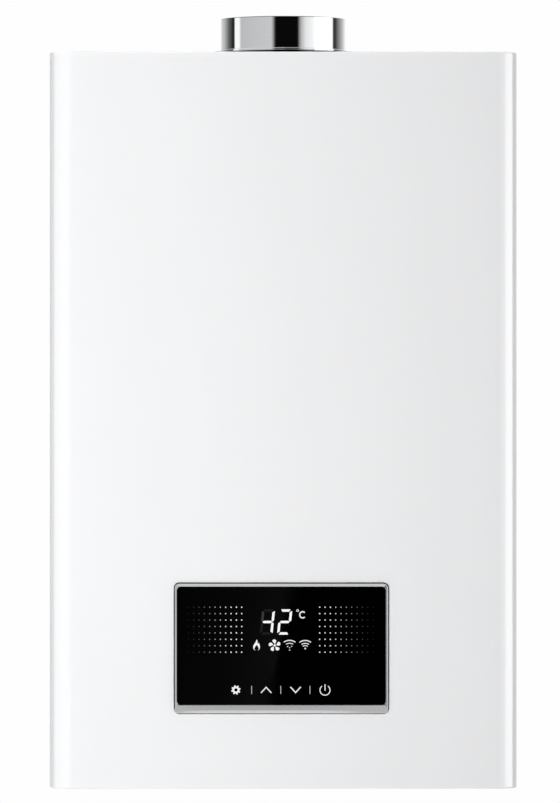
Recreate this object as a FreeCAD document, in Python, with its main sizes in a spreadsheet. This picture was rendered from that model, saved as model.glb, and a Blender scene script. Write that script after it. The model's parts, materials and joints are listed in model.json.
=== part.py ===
import FreeCAD, Part
import math
import os
import types

import Sketcher

# Wall-hung gas water heater with a fan-assisted flue.
# Millimetres. X right, Y into the wall, Z up. The wall is the plane Y = 0, and the
# origin is the middle of the four wall bolts.

SIZES = {
    # casing
    "casing_width": 370.0,
    "casing_height": 582.0,
    "casing_depth": 172.0,
    "corner_radius": 18.0,
    "edge_radius": 1.2,
    "cover_sheet": 1.0,
    "cover_lip": 16.0,
    "cover_side_lip": 9.0,
    "cover_gap": 0.4,
    "stand_off": 8.0,
    "chassis_sheet": 1.2,
    "back_flange": 28.0,
    "plate_flange": 16.0,
    "skirt_height": 30.0,
    "chassis_screw_wide": 150.0,
    "chassis_screw_near": 70.0,
    "stub_clearance": 0.4,
    "air_slot_left": -36.0,
    "air_slot_width": 4.0,
    "air_slot_length": 30.0,
    "air_slot_rear": 24.0,
    "air_slot_pitch": 10.5,
    "air_slot_count": 13,
    "rib_width": 12.0,
    "rib_depth": 3.0,
    "rib_length": 220.0,
    "rib_pitch": 110.0,
    # wall bolts
    "wall_span_x": 310.0,
    "wall_span_z": 440.0,
    "wall_hole_radius": 4.0,
    "foot_radius": 15.0,
    # screws
    "screw_radius": 2.0,
    "screw_head_radius": 4.2,
    "screw_head_height": 2.4,
    "screw_clearance": 0.15,
    "screw_tail": 3.0,
    "cover_screw_drop": 190.0,
    # flue collar
    "flue_depth": 84.0,
    "collar_radius": 50.0,
    "collar_wall": 1.0,
    "collar_rise": 30.5,
    "collar_flange_radius": 64.0,
    "collar_flange": 1.0,
    "bead_low": 5.0,
    "bead_width": 1.8,
    "bead_swell": 1.2,
    "bead_round": 0.5,
    "rim_round": 0.45,
    "collar_screw_wide": 52.0,
    "collar_screw_near": 24.5,
    "gasket_thickness": 1.5,
    "gasket_inset": 1.5,
    # fan
    "fan_sheet": 1.2,
    "fan_width": 60.0,
    "fan_axis_drop": 75.0,
    "wheel_radius": 51.0,
    "wheel_width": 46.0,
    "wheel_plate": 1.2,
    "wheel_eye_radius": 38.0,
    "wheel_hub_radius": 9.0,
    "wheel_front_gap": 6.0,
    "blade_thickness": 1.0,
    "blade_count": 30,
    "blade_curve": 14.0,
    "wheel_hub_length": 24.0,
    "scroll_start": 58.0,
    "scroll_step": 6.0,
    "outlet_width": 64.0,
    "outlet_flange": 7.0,
    "inlet_radius": 36.0,
    "inlet_throat": 6.0,
    "shaft_radius": 4.0,
    "shaft_clearance": 0.04,
    "motor_radius": 34.0,
    "motor_length": 32.0,
    "motor_flange": 2.0,
    "motor_boss_radius": 11.0,
    "motor_boss_length": 6.0,
    "motor_screw_circle": 40.0,
    "motor_clearance": 0.3,
    "motor_corner": 6.0,
    "vent_width": 4.0,
    "vent_depth": 3.0,
    "vent_count": 10,
    "shaft_setback": 1.0,
    "shaft_bevel": 0.5,
    # flue hood
    "hood_sheet": 1.2,
    "hood_slope": 20.0,
    "hood_low_height": 26.0,
    "plenum_depth": 32.0,
    "plenum_head": 56.0,
    "hood_round": 8.0,
    # pressure switch and hose
    "switch_radius": 24.0,
    "switch_thickness": 18.0,
    "switch_rim": 3.0,
    "switch_left": 92.0,
    "sensing_radius": 3.4,
    "sensing_bore": 2.1,
    "nipple_radius": 2.0,
    "nipple_length": 8.0,
    "tap_rise": 34.0,
    "sensing_gap": 0.5,
    "sensing_run": 20.0,
    "sensing_bend": 8.0,
    # heat exchanger
    "chamber_width": 236.0,
    "chamber_depth": 116.0,
    "chamber_height": 160.0,
    "chamber_sheet": 1.0,
    "chamber_corner": 8.0,
    "chamber_rear": 34.0,
    "fin_height": 46.0,
    "fin_pitch": 14.0,
    "fin_sheet": 0.8,
    "fin_count": 15,
    "tube_radius": 8.0,
    "tube_wall": 1.0,
    "tube_pitch": 22.0,
    "tube_gap": 0.2,
    "tube_reach": 17.0,
    "coil_radius": 7.5,
    "coil_bend": 15.0,
    "coil_low": 52.0,
    "coil_turn": 36.0,
    "coil_rise": 5.0,
    "coil_lead_in": 28.0,
    "riser_depth": 62.0,
    "thermostat_radius": 8.0,
    "thermostat_height": 6.0,
    "thermostat_span": 120.0,
    "thermostat_ear": 3.0,
    "bracket_half": 50.0,
    "bracket_foot": 14.0,
    "bracket_height": 18.0,
    "bracket_rise": 6.0,
    "bracket_pitch": 108.0,
    # burner
    "burner_height": 64.0,
    "burner_inset": 5.0,
    "burner_sheet": 1.2,
    "bar_count": 13,
    "bar_pitch": 16.0,
    "bar_thickness": 10.0,
    "bar_length": 96.0,
    "bar_height": 50.0,
    "venturi_radius": 3.6,
    "venturi_rise": 13.0,
    "air_margin": 1.6,
    "vent_margin": 18.0,
    "bar_gap": 6.0,
    "bar_head": 17.0,
    "bar_neck": 30.0,
    "bar_round": 3.0,
    "port_pitch": 10.5,
    "port_width": 4.0,
    "port_depth": 4.0,
    "port_count": 9,
    "manifold_end": 8.0,
    "manifold_wall": 2.0,
    "manifold_height": 20.0,
    "manifold_depth": 12.0,
    "manifold_gap": 6.0,
    "nozzle_tip": 1.4,
    "nozzle_hex": 3.4,
    "nozzle_length": 6.0,
    "nozzle_bore": 0.6,
    "electrode_rise": 12.0,
    "ceramic_radius": 3.2,
    "electrode_wire": 0.9,
    "spark_spacing": 18.0,
    "flame_rod_right": 62.0,
    "terminal_reach": 13.0,
    "ceramic_tail": 8.0,
    "ceramic_cuff": 2.0,
    "spark_reach": 30.0,
    "flame_rod_reach": 44.0,
    # gas train
    "gas_depth": 82.0,
    "gas_thread_radius": 13.2,
    "gas_bore": 9.0,
    "gas_stub": 26.0,
    "valve_width": 76.0,
    "valve_depth": 58.0,
    "valve_height": 62.0,
    "valve_lift": 24.0,
    "valve_corner": 5.0,
    "valve_edge": 3.0,
    "valve_boss": 4.0,
    "valve_rib": 3.0,
    "valve_rib_pitch": 14.0,
    "coil_case_radius": 15.0,
    "coil_case_length": 34.0,
    "plunger_radius": 5.0,
    "plunger_length": 24.0,
    "plunger_travel": 3.0,
    "plunger_clearance": 0.04,
    "seat_radius": 7.0,
    "seat_thickness": 3.0,
    "seat_clearance": 1.0,
    "plunger_seat": 14.0,
    "plunger_spare": 2.0,
    "coil_step": 2.0,
    "feed_radius": 5.5,
    "feed_bend": 10.0,
    "feed_drop": 11.0,
    # water ways
    "water_side": 112.0,
    "water_depth": 78.0,
    "water_thread_radius": 10.5,
    "relief_width": 1.4,
    "relief_depth": 0.8,
    "water_bore": 7.2,
    "water_stub": 26.0,
    "fitting_radius": 14.0,
    "fitting_height": 38.0,
    "fitting_flange_radius": 18.0,
    "fitting_flange": 4.0,
    "fitting_wall": 3.0,
    "boss_rise": 24.0,
    "boss_reach": 22.0,
    "plug_clearance": 0.15,
    "plug_cap": 3.0,
    "probe_radius": 2.6,
    "probe_setback": 2.0,
    "strainer_wall": 0.8,
    "sensor_radius": 15.5,
    "sensor_height": 40.0,
    "turbine_radius": 11.0,
    "turbine_height": 12.0,
    "turbine_hub": 3.4,
    "turbine_blade": 1.2,
    "turbine_blades": 6,
    "turbine_gap": 0.8,
    "turbine_room": 14.0,
    "pick_up_width": 18.0,
    "pick_up_depth": 9.0,
    "spider_height": 3.0,
    "spider_width": 2.6,
    "axle_grip": 0.02,
    "axle_radius": 1.2,
    "axle_clearance": 0.04,
    "pipe_radius": 7.5,
    "pipe_wall": 1.0,
    "pipe_bend": 16.0,
    "pipe_rise": 26.0,
    "pipe_jog": 36.0,
    "nut_across": 24.0,
    "nut_height": 14.0,
    "strainer_height": 18.0,
    "plug_radius": 7.0,
    # control box and electrics
    "tray_right": 46.0,
    "tray_width": 92.0,
    "tray_height": 112.0,
    "tray_front": 140.0,
    "tray_depth": 30.0,
    "tray_wall": 1.8,
    "lid_thickness": 2.0,
    "board_thickness": 1.6,
    "tray_corner": 4.0,
    "lid_margin": 12.0,
    "lid_vent_length": 34.0,
    "lid_vent_count": 6,
    "board_lift": 4.0,
    "part_unit": 11.0,
    "plug_bevel": 0.8,
    "generator_width": 42.0,
    "generator_depth": 36.0,
    "generator_height": 32.0,
    "generator_left": 48.0,
    "generator_rear": 20.0,
    "generator_edge": 2.0,
    "tower_radius": 3.6,
    "tower_bore": 1.6,
    "tower_height": 8.0,
    "gland_right": 62.0,
    "gland_depth": 112.0,
    "gland_radius": 8.0,
    "gland_thread": 6.0,
    "gland_bore": 3.6,
    "gland_nut": 9.0,
    # control panel
    "panel_width": 170.0,
    "panel_height": 104.0,
    "panel_shift": 1.6,
    "panel_drop": 180.1,
    "panel_proud": 3.0,
    "panel_corner": 4.4,
    "rim_side": 2.45,
    "rim_top": 3.2,
    "rim_chin": 7.4,
    "rim_fall": 0.9,
    "rim_slope": 75.0,
    "rim_curve": 2.0,
    "chin_gap": 0.4,
    "chin_fall": 1.8,
    "chin_lift": 1.5,
    "chin_edge": 0.3,
    "chin_curve": 3.9,
    "glass_corner": 3.4,
    "glass_thickness": 1.6,
    "glass_recess": 0.3,
    "glass_gap": 0.2,
    "window_inset": 7.0,
    "housing_depth": 24.0,
    "housing_wall": 2.0,
    "plug_width": 16.0,
    "plug_height": 8.0,
    "plug_gap": 0.4,
    "plug_inset": 23.4,
    "plug_reach": 9.0,
    "glass_ledge": 2.0,
    "window_gap": 0.4,
    "ear_reach": 4.0,
    "ear_width": 10.0,
    "ear_spread": 50.0,
    "board_margin": 1.0,
    "board_setback": 12.0,
    "digit_setback": 1.0,
    "digit_width": 74.0,
    "digit_height": 40.0,
    "digit_rise": 14.0,
    "key_pitch": 29.0,
    "key_drop": 34.0,
    "key_radius": 4.0,
    "chip_size": 10.0,
    "chip_height": 2.0,
    "post_radius": 3.0,
}

doc = FreeCAD.newDocument("gas_water_heater")
sheet = doc.addObject("Spreadsheet::Sheet", "dims")
for row, (alias, number) in enumerate(SIZES.items(), start=1):
    sheet.set(f"A{row}", alias)
    sheet.set(f"B{row}", str(number))
    sheet.setAlias(f"B{row}", alias)
doc.recompute()


class Size:
    """A length tied to the sheet: its expression, and the number it gives now."""

    def __init__(self, text, value):
        self.text = text
        self.value = value

    def join(self, sign, other, swap=False):
        left, right = (size_of(other), self) if swap else (self, size_of(other))
        value = {
            "+": lambda a, b: a + b,
            "-": lambda a, b: a - b,
            "*": lambda a, b: a * b,
            "/": lambda a, b: a / b,
        }[sign](left.value, right.value)
        return Size(f"({left.text} {sign} {right.text})", value)

    def __add__(self, other):
        return self.join("+", other)

    def __radd__(self, other):
        return self.join("+", other, swap=True)

    def __sub__(self, other):
        return self.join("-", other)

    def __rsub__(self, other):
        return self.join("-", other, swap=True)

    def __mul__(self, other):
        return self.join("*", other)

    def __rmul__(self, other):
        return self.join("*", other, swap=True)

    def __truediv__(self, other):
        return self.join("/", other)

    def __neg__(self):
        return Size(f"(0 - {self.text})", -self.value)


def size_of(number):
    if isinstance(number, Size):
        return number
    return Size(f"({float(number)!r})", float(number))


s = types.SimpleNamespace(**{a: Size(f"dims.{a}", float(sheet.get(a))) for a in SIZES})


def bind(item, path, size):
    item.setExpression(path, size_of(size).text)


def vector(x, y, z=0):
    return FreeCAD.Vector(size_of(x).value, size_of(y).value, size_of(z).value)


AXES = {
    "X": FreeCAD.Vector(1, 0, 0),
    "Y": FreeCAD.Vector(0, 1, 0),
    "Z": FreeCAD.Vector(0, 0, 1),
    "-X": FreeCAD.Vector(-1, 0, 0),
    "-Y": FreeCAD.Vector(0, -1, 0),
    "-Z": FreeCAD.Vector(0, 0, -1),
}

NODES = {}


def place(item, at, axis="Z"):
    """Moves an item whose own axis is Z so that the axis runs as named through a point."""
    item.Placement = FreeCAD.Placement(vector(*at), FreeCAD.Rotation(AXES["Z"], AXES[axis]))
    for letter, size in zip("xyz", at):
        bind(item, f"Placement.Base.{letter}", size)
    return item


class Outline:
    """A closed, fully fixed sketch on one of a body's own planes."""

    def __init__(self, piece, plane, at=0):
        self.item = piece.body.newObject("Sketcher::SketchObject", piece.label + "_outline")
        origin = piece.body.Origin.OriginFeatures
        self.item.AttachmentSupport = [(next(f for f in origin if f.Role == plane + "_Plane"), "")]
        self.item.MapMode = "FlatFace"
        bind(self.item, "AttachmentOffset.Base.z", -size_of(at) if plane == "XZ" else at)

    def fix(self, kind, geometry, point, size):
        value = size_of(size).value
        number = self.item.addConstraint(Sketcher.Constraint(kind, -1, 1, geometry, point, value))
        bind(self.item, f"Constraints[{number}]", size)

    def fix_point(self, geometry, point, x, y):
        self.fix("DistanceX", geometry, point, x)
        self.fix("DistanceY", geometry, point, y)

    def fix_radius(self, geometry, radius):
        number = self.item.addConstraint(Sketcher.Constraint("Radius", geometry, size_of(radius).value))
        bind(self.item, f"Constraints[{number}]", radius)

    def chain(self, *corners):
        """A closed run of points, anticlockwise. A third number on a point rounds the side
        that leaves it with that radius: outwards if it is plus, inwards if it is minus."""
        first = self.item.GeometryCount
        count = len(corners)
        ends = []
        for corner, following in zip(corners, corners[1:] + corners[:1]):
            here, there = vector(*corner[:2]), vector(*following[:2])
            ends.append((1, 2))
            if len(corner) == 2:
                self.item.addGeometry(Part.LineSegment(here, there), False)
                continue
            radius = size_of(corner[2]).value
            way = (there - here).normalize()
            left = FreeCAD.Vector(-way.y, way.x, 0)
            half = here.distanceToPoint(there) / 2
            reach = math.copysign(math.sqrt(radius ** 2 - half ** 2), radius)
            centre = (here + there) * 0.5 + left * reach
            if radius < 0:
                here, there = there, here
                ends[-1] = (2, 1)
            low, high = (math.atan2(p.y - centre.y, p.x - centre.x) for p in (here, there))
            ring = Part.Circle(centre, AXES["Z"], abs(radius))
            self.item.addGeometry(Part.ArcOfCircle(ring, low, high + (high < low) * 2 * math.pi), False)
        for i, corner in enumerate(corners):
            after = (i + 1) % count
            self.item.addConstraint(
                Sketcher.Constraint("Coincident", first + i, ends[i][1], first + after, ends[after][0])
            )
            self.fix_point(first + i, ends[i][0], *corner[:2])
            if len(corner) == 3:
                self.fix_radius(first + i, corner[2] if size_of(corner[2]).value > 0 else -corner[2])
        return self

    def rectangle(self, x, y):
        return self.chain((x[0], y[0]), (x[1], y[0]), (x[1], y[1]), (x[0], y[1]))

    def rounded(self, x, y, radius):
        """A rectangle with four equal round corners."""
        return self.chain(
            (x[0] + radius, y[0]),
            (x[1] - radius, y[0], radius),
            (x[1], y[0] + radius),
            (x[1], y[1] - radius, radius),
            (x[1] - radius, y[1]),
            (x[0] + radius, y[1], radius),
            (x[0], y[1] - radius),
            (x[0], y[0] + radius, radius),
        )

    def circle(self, x, y, radius):
        ring = Part.Circle(vector(x, y), AXES["Z"], size_of(radius).value)
        number = self.item.addGeometry(ring, False)
        self.fix_point(number, 3, x, y)
        self.fix_radius(number, radius)
        return self


class Piece:
    """A body built up from sketches, with short ways to add each feature."""

    def __init__(self, label):
        self.label = label
        self.body = doc.addObject("PartDesign::Body", label)
        self.body.Label = label
        NODES[label] = self.body

    def on(self, plane, at=0):
        return Outline(self, plane, at)

    def add(self, kind):
        return self.body.newObject("PartDesign::" + kind, f"{self.label}_{kind}")

    def grow(self, kind, outline, length, both, back):
        feature = self.add(kind)
        feature.Profile = outline.item
        if length is None:
            feature.Type = "ThroughAll"
        else:
            bind(feature, "Length", length)
        if both:
            feature.SideType = "Symmetric"
        feature.Reversed = back
        doc.recompute()
        return feature

    def pad(self, outline, length, both=False, back=False):
        return self.grow("Pad", outline, length, both, back)

    def pocket(self, outline, length=None, both=False, back=False):
        return self.grow("Pocket", outline, length, both, back)

    def turn(self, outline):
        feature = self.add("Revolution")
        feature.Profile = outline.item
        feature.ReferenceAxis = (outline.item, ["V_Axis"])
        doc.recompute()
        return feature

    def edges(self, test):
        tip = self.body.Tip
        names = [f"Edge{i}" for i, e in enumerate(tip.Shape.Edges, start=1) if test(e)]
        return (tip, names)

    def round(self, radius, test):
        chosen = self.edges(test)
        feature = self.add("Fillet")
        feature.Base = chosen
        bind(feature, "Radius", radius)
        doc.recompute()
        return feature

    def bevel(self, size, test):
        chosen = self.edges(test)
        feature = self.add("Chamfer")
        feature.Base = chosen
        bind(feature, "Size", size)
        doc.recompute()
        return feature

    def hollow(self, wall, test):
        """Leaves a wall inside the outer faces, open at the faces that pass the test."""
        tip = self.body.Tip
        names = [f"Face{i}" for i, f in enumerate(tip.Shape.Faces, start=1) if test(f)]
        feature = self.add("Thickness")
        feature.Base = (tip, names)
        feature.Reversed = True
        bind(feature, "Value", wall)
        doc.recompute()
        return feature

    def row(self, features, axis, pitch, count):
        """A straight row of copies of the features, or of the whole body if none is named."""
        feature = self.add("LinearPattern")
        if features:
            feature.Originals = features
        else:
            feature.TransformMode = "Whole shape"
        origin = self.body.Origin.OriginFeatures
        feature.Direction = (next(f for f in origin if f.Role == axis + "_Axis"), [""])
        feature.Mode = "Spacing"
        bind(feature, "Offset", pitch)
        bind(feature, "Occurrences", count)
        self.body.Tip = feature
        doc.recompute()
        return feature

    def ring(self, features, axis, count):
        feature = self.add("PolarPattern")
        feature.Originals = features
        origin = self.body.Origin.OriginFeatures
        feature.Axis = (next(f for f in origin if f.Role == axis + "_Axis"), [""])
        feature.Angle = 360
        bind(feature, "Occurrences", count)
        self.body.Tip = feature
        doc.recompute()
        return feature

    def set_at(self, at, axis="Z"):
        place(self.body, at, axis)
        doc.recompute()
        return self


def turned(label, profile, at, axis="Z"):
    """A turned piece: its profile is (radius, height) points beside its own axis."""
    piece = Piece(label)
    piece.turn(piece.on("XZ").chain(*profile))
    return piece.set_at(at, axis)


def block(name, x, y, z):
    item = doc.addObject("Part::Box", name)
    for path, span in (("Length", x), ("Width", y), ("Height", z)):
        bind(item, path, size_of(span[1]) - span[0])
    return place(item, (x[0], y[0], z[0]))


def rod(name, radius, length, at, axis="Z"):
    item = doc.addObject("Part::Cylinder", name)
    bind(item, "Radius", radius)
    bind(item, "Height", length)
    return place(item, at, axis)


def fuse(name, *items):
    item = doc.addObject("Part::MultiFuse", name)
    item.Shapes = list(items)
    item.Refine = True
    return item


def cut(name, base, *tools):
    item = doc.addObject("Part::Cut", name)
    item.Base = base
    item.Tool = tools[0] if len(tools) == 1 else fuse(name + "_tools", *tools)
    item.Refine = True
    return item


def group(name, *items):
    item = doc.addObject("Part::Compound", name)
    item.Links = list(items)
    return item


def keep(label, item):
    item.Label = label
    NODES[label] = item
    return item


def screws(label, seats, axis, length):
    """Alike pan-head screws: a seat is the point under the head, the shank runs along the axis."""
    back = axis[1:] if axis.startswith("-") else "-" + axis
    made = []
    for i, seat in enumerate(seats):
        head = rod(f"{label}_head{i}", s.screw_head_radius, s.screw_head_height, seat, back)
        shank = rod(f"{label}_shank{i}", s.screw_radius, length, seat, axis)
        made.append(fuse(f"{label}_screw{i}", head, shank))
    return keep(label, group(label, *made))


def bent_path(points, bend):
    """Straight runs through the points, with a bend of one radius at each point between."""
    spots = [vector(*p) for p in points]
    radius = size_of(bend).value
    edges = []
    here = spots[0]
    for before, corner, after in zip(spots, spots[1:], spots[2:]):
        inward = (corner - before).normalize()
        outward = (after - corner).normalize()
        angle = inward.getAngle(outward)
        reach = radius * math.tan(angle / 2)
        start = corner - inward * reach
        end = corner + outward * reach
        middle = (outward - inward).normalize()
        swing = radius / math.cos(angle / 2) - radius
        crown = corner + middle * swing
        if here.distanceToPoint(start) > 1e-6:
            edges.append(Part.makeLine(here, start))
        edges.append(Part.Arc(start, crown, end).toShape())
        here = end
    edges.append(Part.makeLine(here, spots[-1]))
    return Part.Wire(edges)


def swept(points, bend, radius):
    spine = bent_path(points, bend)
    start = vector(*points[0])
    along = vector(*points[1]) - start
    ring = Part.Wire(Part.makeCircle(size_of(radius).value, start, along))
    return spine.makePipeShell([ring], True, True)


def bent_tube(label, points, bend, radius, wall=None):
    """A tube bent in space, hollow where a wall is given."""
    shape = swept(points, bend, radius)
    if wall is not None:
        shape = shape.cut(swept(points, bend, size_of(radius) - wall))
    item = doc.addObject("Part::Feature", label)
    item.Shape = shape
    return keep(label, item)


def along(edge, axis):
    """True for a straight edge that runs along the named axis."""
    if edge.Curve.TypeId != "Part::GeomLine":
        return False
    return abs(abs(edge.Curve.Direction.dot(AXES[axis])) - 1) < 1e-6


def facing(face, axis, place_on_axis=None):
    """True for a flat face that looks along the named axis, at one place if that is given."""
    if face.Surface.TypeId != "Part::GeomPlane":
        return False
    looks = face.normalAt(0, 0).dot(AXES[axis]) > 0.999
    if place_on_axis is None:
        return looks
    spot = face.CenterOfMass.dot(AXES[axis.strip("-")])
    return looks and abs(spot - size_of(place_on_axis).value) < 1e-4


def near(value, size):
    return abs(value - size_of(size).value) < 1e-4


def mirror_pair(distance):
    return (-size_of(distance), size_of(distance))


# Datums that several pieces share

half_width = s.casing_width / 2
top = s.casing_height / 2
bottom = -top
front = -s.casing_depth
rear = -s.stand_off
cover_inside = front + s.cover_sheet
chassis_half = half_width - s.cover_sheet - s.cover_gap
plate_half = chassis_half - s.chassis_sheet - s.cover_gap
back_face = rear - s.chassis_sheet
plate_top = top - s.cover_sheet - s.cover_gap
plate_under = plate_top - s.chassis_sheet
floor_top = bottom + s.skirt_height
floor_under = floor_top - s.chassis_sheet
plate_front = cover_inside + s.cover_gap
flue_y = -s.flue_depth
screw_hole = s.screw_radius + s.screw_clearance
fan_x = s.scroll_start + 2.5 * s.scroll_step - s.outlet_width / 2
fan_z = plate_under - s.fan_axis_drop
fan_front = flue_y - s.fan_width / 2
fan_rear = flue_y + s.fan_width / 2
hood_top = fan_z - s.scroll_start - 1.5 * s.scroll_step - s.cover_gap
chamber_top = hood_top - s.hood_low_height
chamber_low = chamber_top - s.chamber_height
chamber_x = mirror_pair(s.chamber_width / 2)
chamber_y = (-s.chamber_rear - s.chamber_depth, -s.chamber_rear)
tube_z = chamber_top - s.fin_height / 2 - s.cover_gap
tube_mid = -s.chamber_rear - s.chamber_depth / 2
tube_places = [tube_mid + s.tube_pitch * (i - 2) for i in range(5)]
burner_low = chamber_low - s.burner_height
panel_x = -s.panel_shift
panel_z = -s.panel_drop
window_x = (panel_x - s.panel_width / 2 + s.window_inset, panel_x + s.panel_width / 2 - s.window_inset)
window_z = (panel_z - s.panel_height / 2 + s.window_inset, panel_z + s.panel_height / 2 - s.window_inset)
cover_screw_y = rear - s.back_flange / 2
duct_x = (fan_x - s.scroll_start - 2.5 * s.scroll_step + s.fan_sheet,
          fan_x - s.scroll_start - 2.5 * s.scroll_step + s.outlet_width - s.fan_sheet)
duct_y = (fan_front + s.fan_sheet, fan_rear - s.fan_sheet)
collar_screw_spots = [
    (x, y) for x in mirror_pair(s.collar_screw_wide) for y in mirror_pair(s.collar_screw_near)
]
chassis_screw_spots = [
    (x, z)
    for z in (plate_top - 0.65 * s.plate_flange, floor_top + 0.65 * s.plate_flange)
    for x in (*mirror_pair(s.chassis_screw_wide), *mirror_pair(s.chassis_screw_near))
]
water_y = -s.water_depth
gas_y = -s.gas_depth
gland_y = -s.gland_depth
plug_x = panel_x - s.panel_width / 2 + s.plug_inset
tray_face = -s.tray_front - s.lid_thickness
plug_tip = tray_face - s.plug_reach
sensor_low = floor_top + s.fitting_height
sensor_top = sensor_low + s.sensor_height
tube_end = s.chamber_width / 2 + s.tube_reach
riser_x = tube_end + s.coil_bend + 1
riser_y = -s.riser_depth
coil_x = s.chamber_width / 2 + s.coil_radius + s.tube_gap
coil_front = chamber_y[0] - s.coil_radius - s.tube_gap
coil_rear = chamber_y[1] + s.coil_radius + s.tube_gap
coil_z = chamber_low + s.coil_low
union_z = coil_z - s.coil_lead_in
bar_left = -(s.bar_count - 1) / 2 * s.bar_pitch
venturi_z = burner_low + s.burner_sheet + s.venturi_rise
manifold_rear = chamber_y[0] - s.manifold_gap
manifold_y = manifold_rear - s.manifold_depth / 2
manifold_low = venturi_z - s.manifold_height / 2
valve_low = floor_top + s.valve_lift
valve_top = valve_low + s.valve_height
plunger_z = valve_low + s.valve_height / 2
electrode_z = chamber_low + s.electrode_rise
generator_x = (-s.generator_left - s.generator_width, -s.generator_left)
generator_y = (-s.generator_rear - s.generator_depth, -s.generator_rear)
generator_top = floor_top + s.generator_height
tower_y = (generator_y[0] + generator_y[1]) / 2
tower_middle = (generator_x[0] + generator_x[1]) / 2
tower_spots = [tower_middle + side for side in mirror_pair(s.generator_width / 4)]
motor_screw_spots = [
    (s.motor_screw_circle * math.sin(turn), s.motor_screw_circle * math.cos(turn))
    for turn in map(math.radians, (60, 180, 300))
]


def make_front_cover():
    cover = Piece("front_cover")
    cover.pad(cover.on("XY").rectangle(mirror_pair(half_width), (front, rear)), s.casing_height, both=True)
    cover.round(s.corner_radius, lambda e: along(e, "Z") and near(e.CenterOfMass.y, front))
    cover.round(
        s.edge_radius,
        lambda e: near(abs(e.CenterOfMass.z), top) and not near(e.CenterOfMass.y, rear),
    )
    cover.hollow(s.cover_sheet, lambda f: facing(f, "Y", rear))
    open_x = mirror_pair(half_width - s.cover_side_lip)
    cover.pocket(cover.on("XY").rectangle(open_x, (front + s.cover_lip, 0)), both=True)
    window = cover.on("XZ", front).rounded(window_x, window_z, s.panel_corner)
    cover.pocket(window, 3 * s.cover_sheet)
    notches = cover.on("YZ")
    for level in mirror_pair(s.cover_screw_drop):
        notches.chain(
            (cover_screw_y, level - screw_hole),
            (0, level - screw_hole),
            (0, level + screw_hole),
            (cover_screw_y, level + screw_hole, screw_hole),
            (cover_screw_y - screw_hole, level, screw_hole),
        )
    cover.pocket(notches, both=True)


def make_back_plate():
    plate = Piece("back_plate")
    flange_front = rear - s.back_flange
    inner = chassis_half - s.chassis_sheet
    low = bottom + s.cover_sheet + s.cover_gap
    profile = plate.on("XY", low).chain(
        (-chassis_half, flange_front),
        (-inner, flange_front),
        (-inner, back_face),
        (inner, back_face),
        (inner, flange_front),
        (chassis_half, flange_front),
        (chassis_half, rear),
        (-chassis_half, rear),
    )
    plate.pad(profile, plate_under - low)
    feet = plate.on("XZ", 0)
    cups = plate.on("XZ", back_face)
    holes = plate.on("XZ", 0)
    for x in mirror_pair(s.wall_span_x / 2):
        for z in mirror_pair(s.wall_span_z / 2):
            feet.circle(x, z, s.foot_radius)
            cups.circle(x, z, s.foot_radius - s.chassis_sheet)
            holes.circle(x, z, s.wall_hole_radius)
    plate.pad(feet, s.stand_off + s.chassis_sheet)
    plate.pocket(cups, s.stand_off)
    ribs = plate.on("XZ", back_face)
    grooves = plate.on("XZ", rear)
    groove_width = s.rib_width - 2 * s.chassis_sheet
    for step in range(-2, 3):
        level = step * s.rib_pitch
        for outline, width in ((ribs, s.rib_width), (grooves, groove_width)):
            outline.rounded(
                mirror_pair(s.rib_length / 2 - (s.rib_width - width) / 2),
                (level - width / 2, level + width / 2),
                0.45 * width,
            )
    plate.pad(ribs, s.rib_depth)
    plate.pocket(grooves, s.rib_depth, back=True)
    for x, z in chassis_screw_spots:
        holes.circle(x, z, screw_hole)
    plate.pocket(holes, both=True)
    side_holes = plate.on("YZ")
    for level in mirror_pair(s.cover_screw_drop):
        side_holes.circle(cover_screw_y, level, screw_hole)
    plate.pocket(side_holes, both=True)


def trim_front_corners(plate):
    """Rounds a plate's two front corners to follow the inside of the cover."""
    radius = s.corner_radius
    start = plate_front + radius
    left = plate.on("XY").chain(
        (-plate_half - 1, plate_front - 1),
        (radius - plate_half, plate_front - 1),
        (radius - plate_half, plate_front, -radius),
        (-plate_half, start),
        (-plate_half - 1, start),
    )
    left.chain(
        (plate_half - radius, plate_front - 1),
        (plate_half + 1, plate_front - 1),
        (plate_half + 1, start),
        (plate_half, start, -radius),
        (plate_half - radius, plate_front),
    )
    plate.pocket(left, both=True)


def make_top_plate():
    plate = Piece("top_plate")
    hem = plate_top - s.plate_flange
    profile = plate.on("YZ").chain(
        (plate_front, hem),
        (plate_front + s.chassis_sheet, hem),
        (plate_front + s.chassis_sheet, plate_under),
        (back_face - s.chassis_sheet, plate_under),
        (back_face - s.chassis_sheet, hem),
        (back_face, hem),
        (back_face, plate_under),
        (rear, plate_under),
        (rear, plate_top),
        (plate_front, plate_top),
    )
    plate.pad(profile, 2 * plate_half, both=True)
    trim_front_corners(plate)
    openings = plate.on("XY", plate_top).rectangle(duct_x, duct_y)
    for x, y in collar_screw_spots:
        openings.circle(x, y + flue_y, screw_hole)
    plate.pocket(openings, 3 * s.chassis_sheet)
    holes = plate.on("XZ", back_face)
    for x, z in chassis_screw_spots[:4]:
        holes.circle(x, z, screw_hole)
    plate.pocket(holes, 2 * s.chassis_sheet, back=True)


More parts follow.
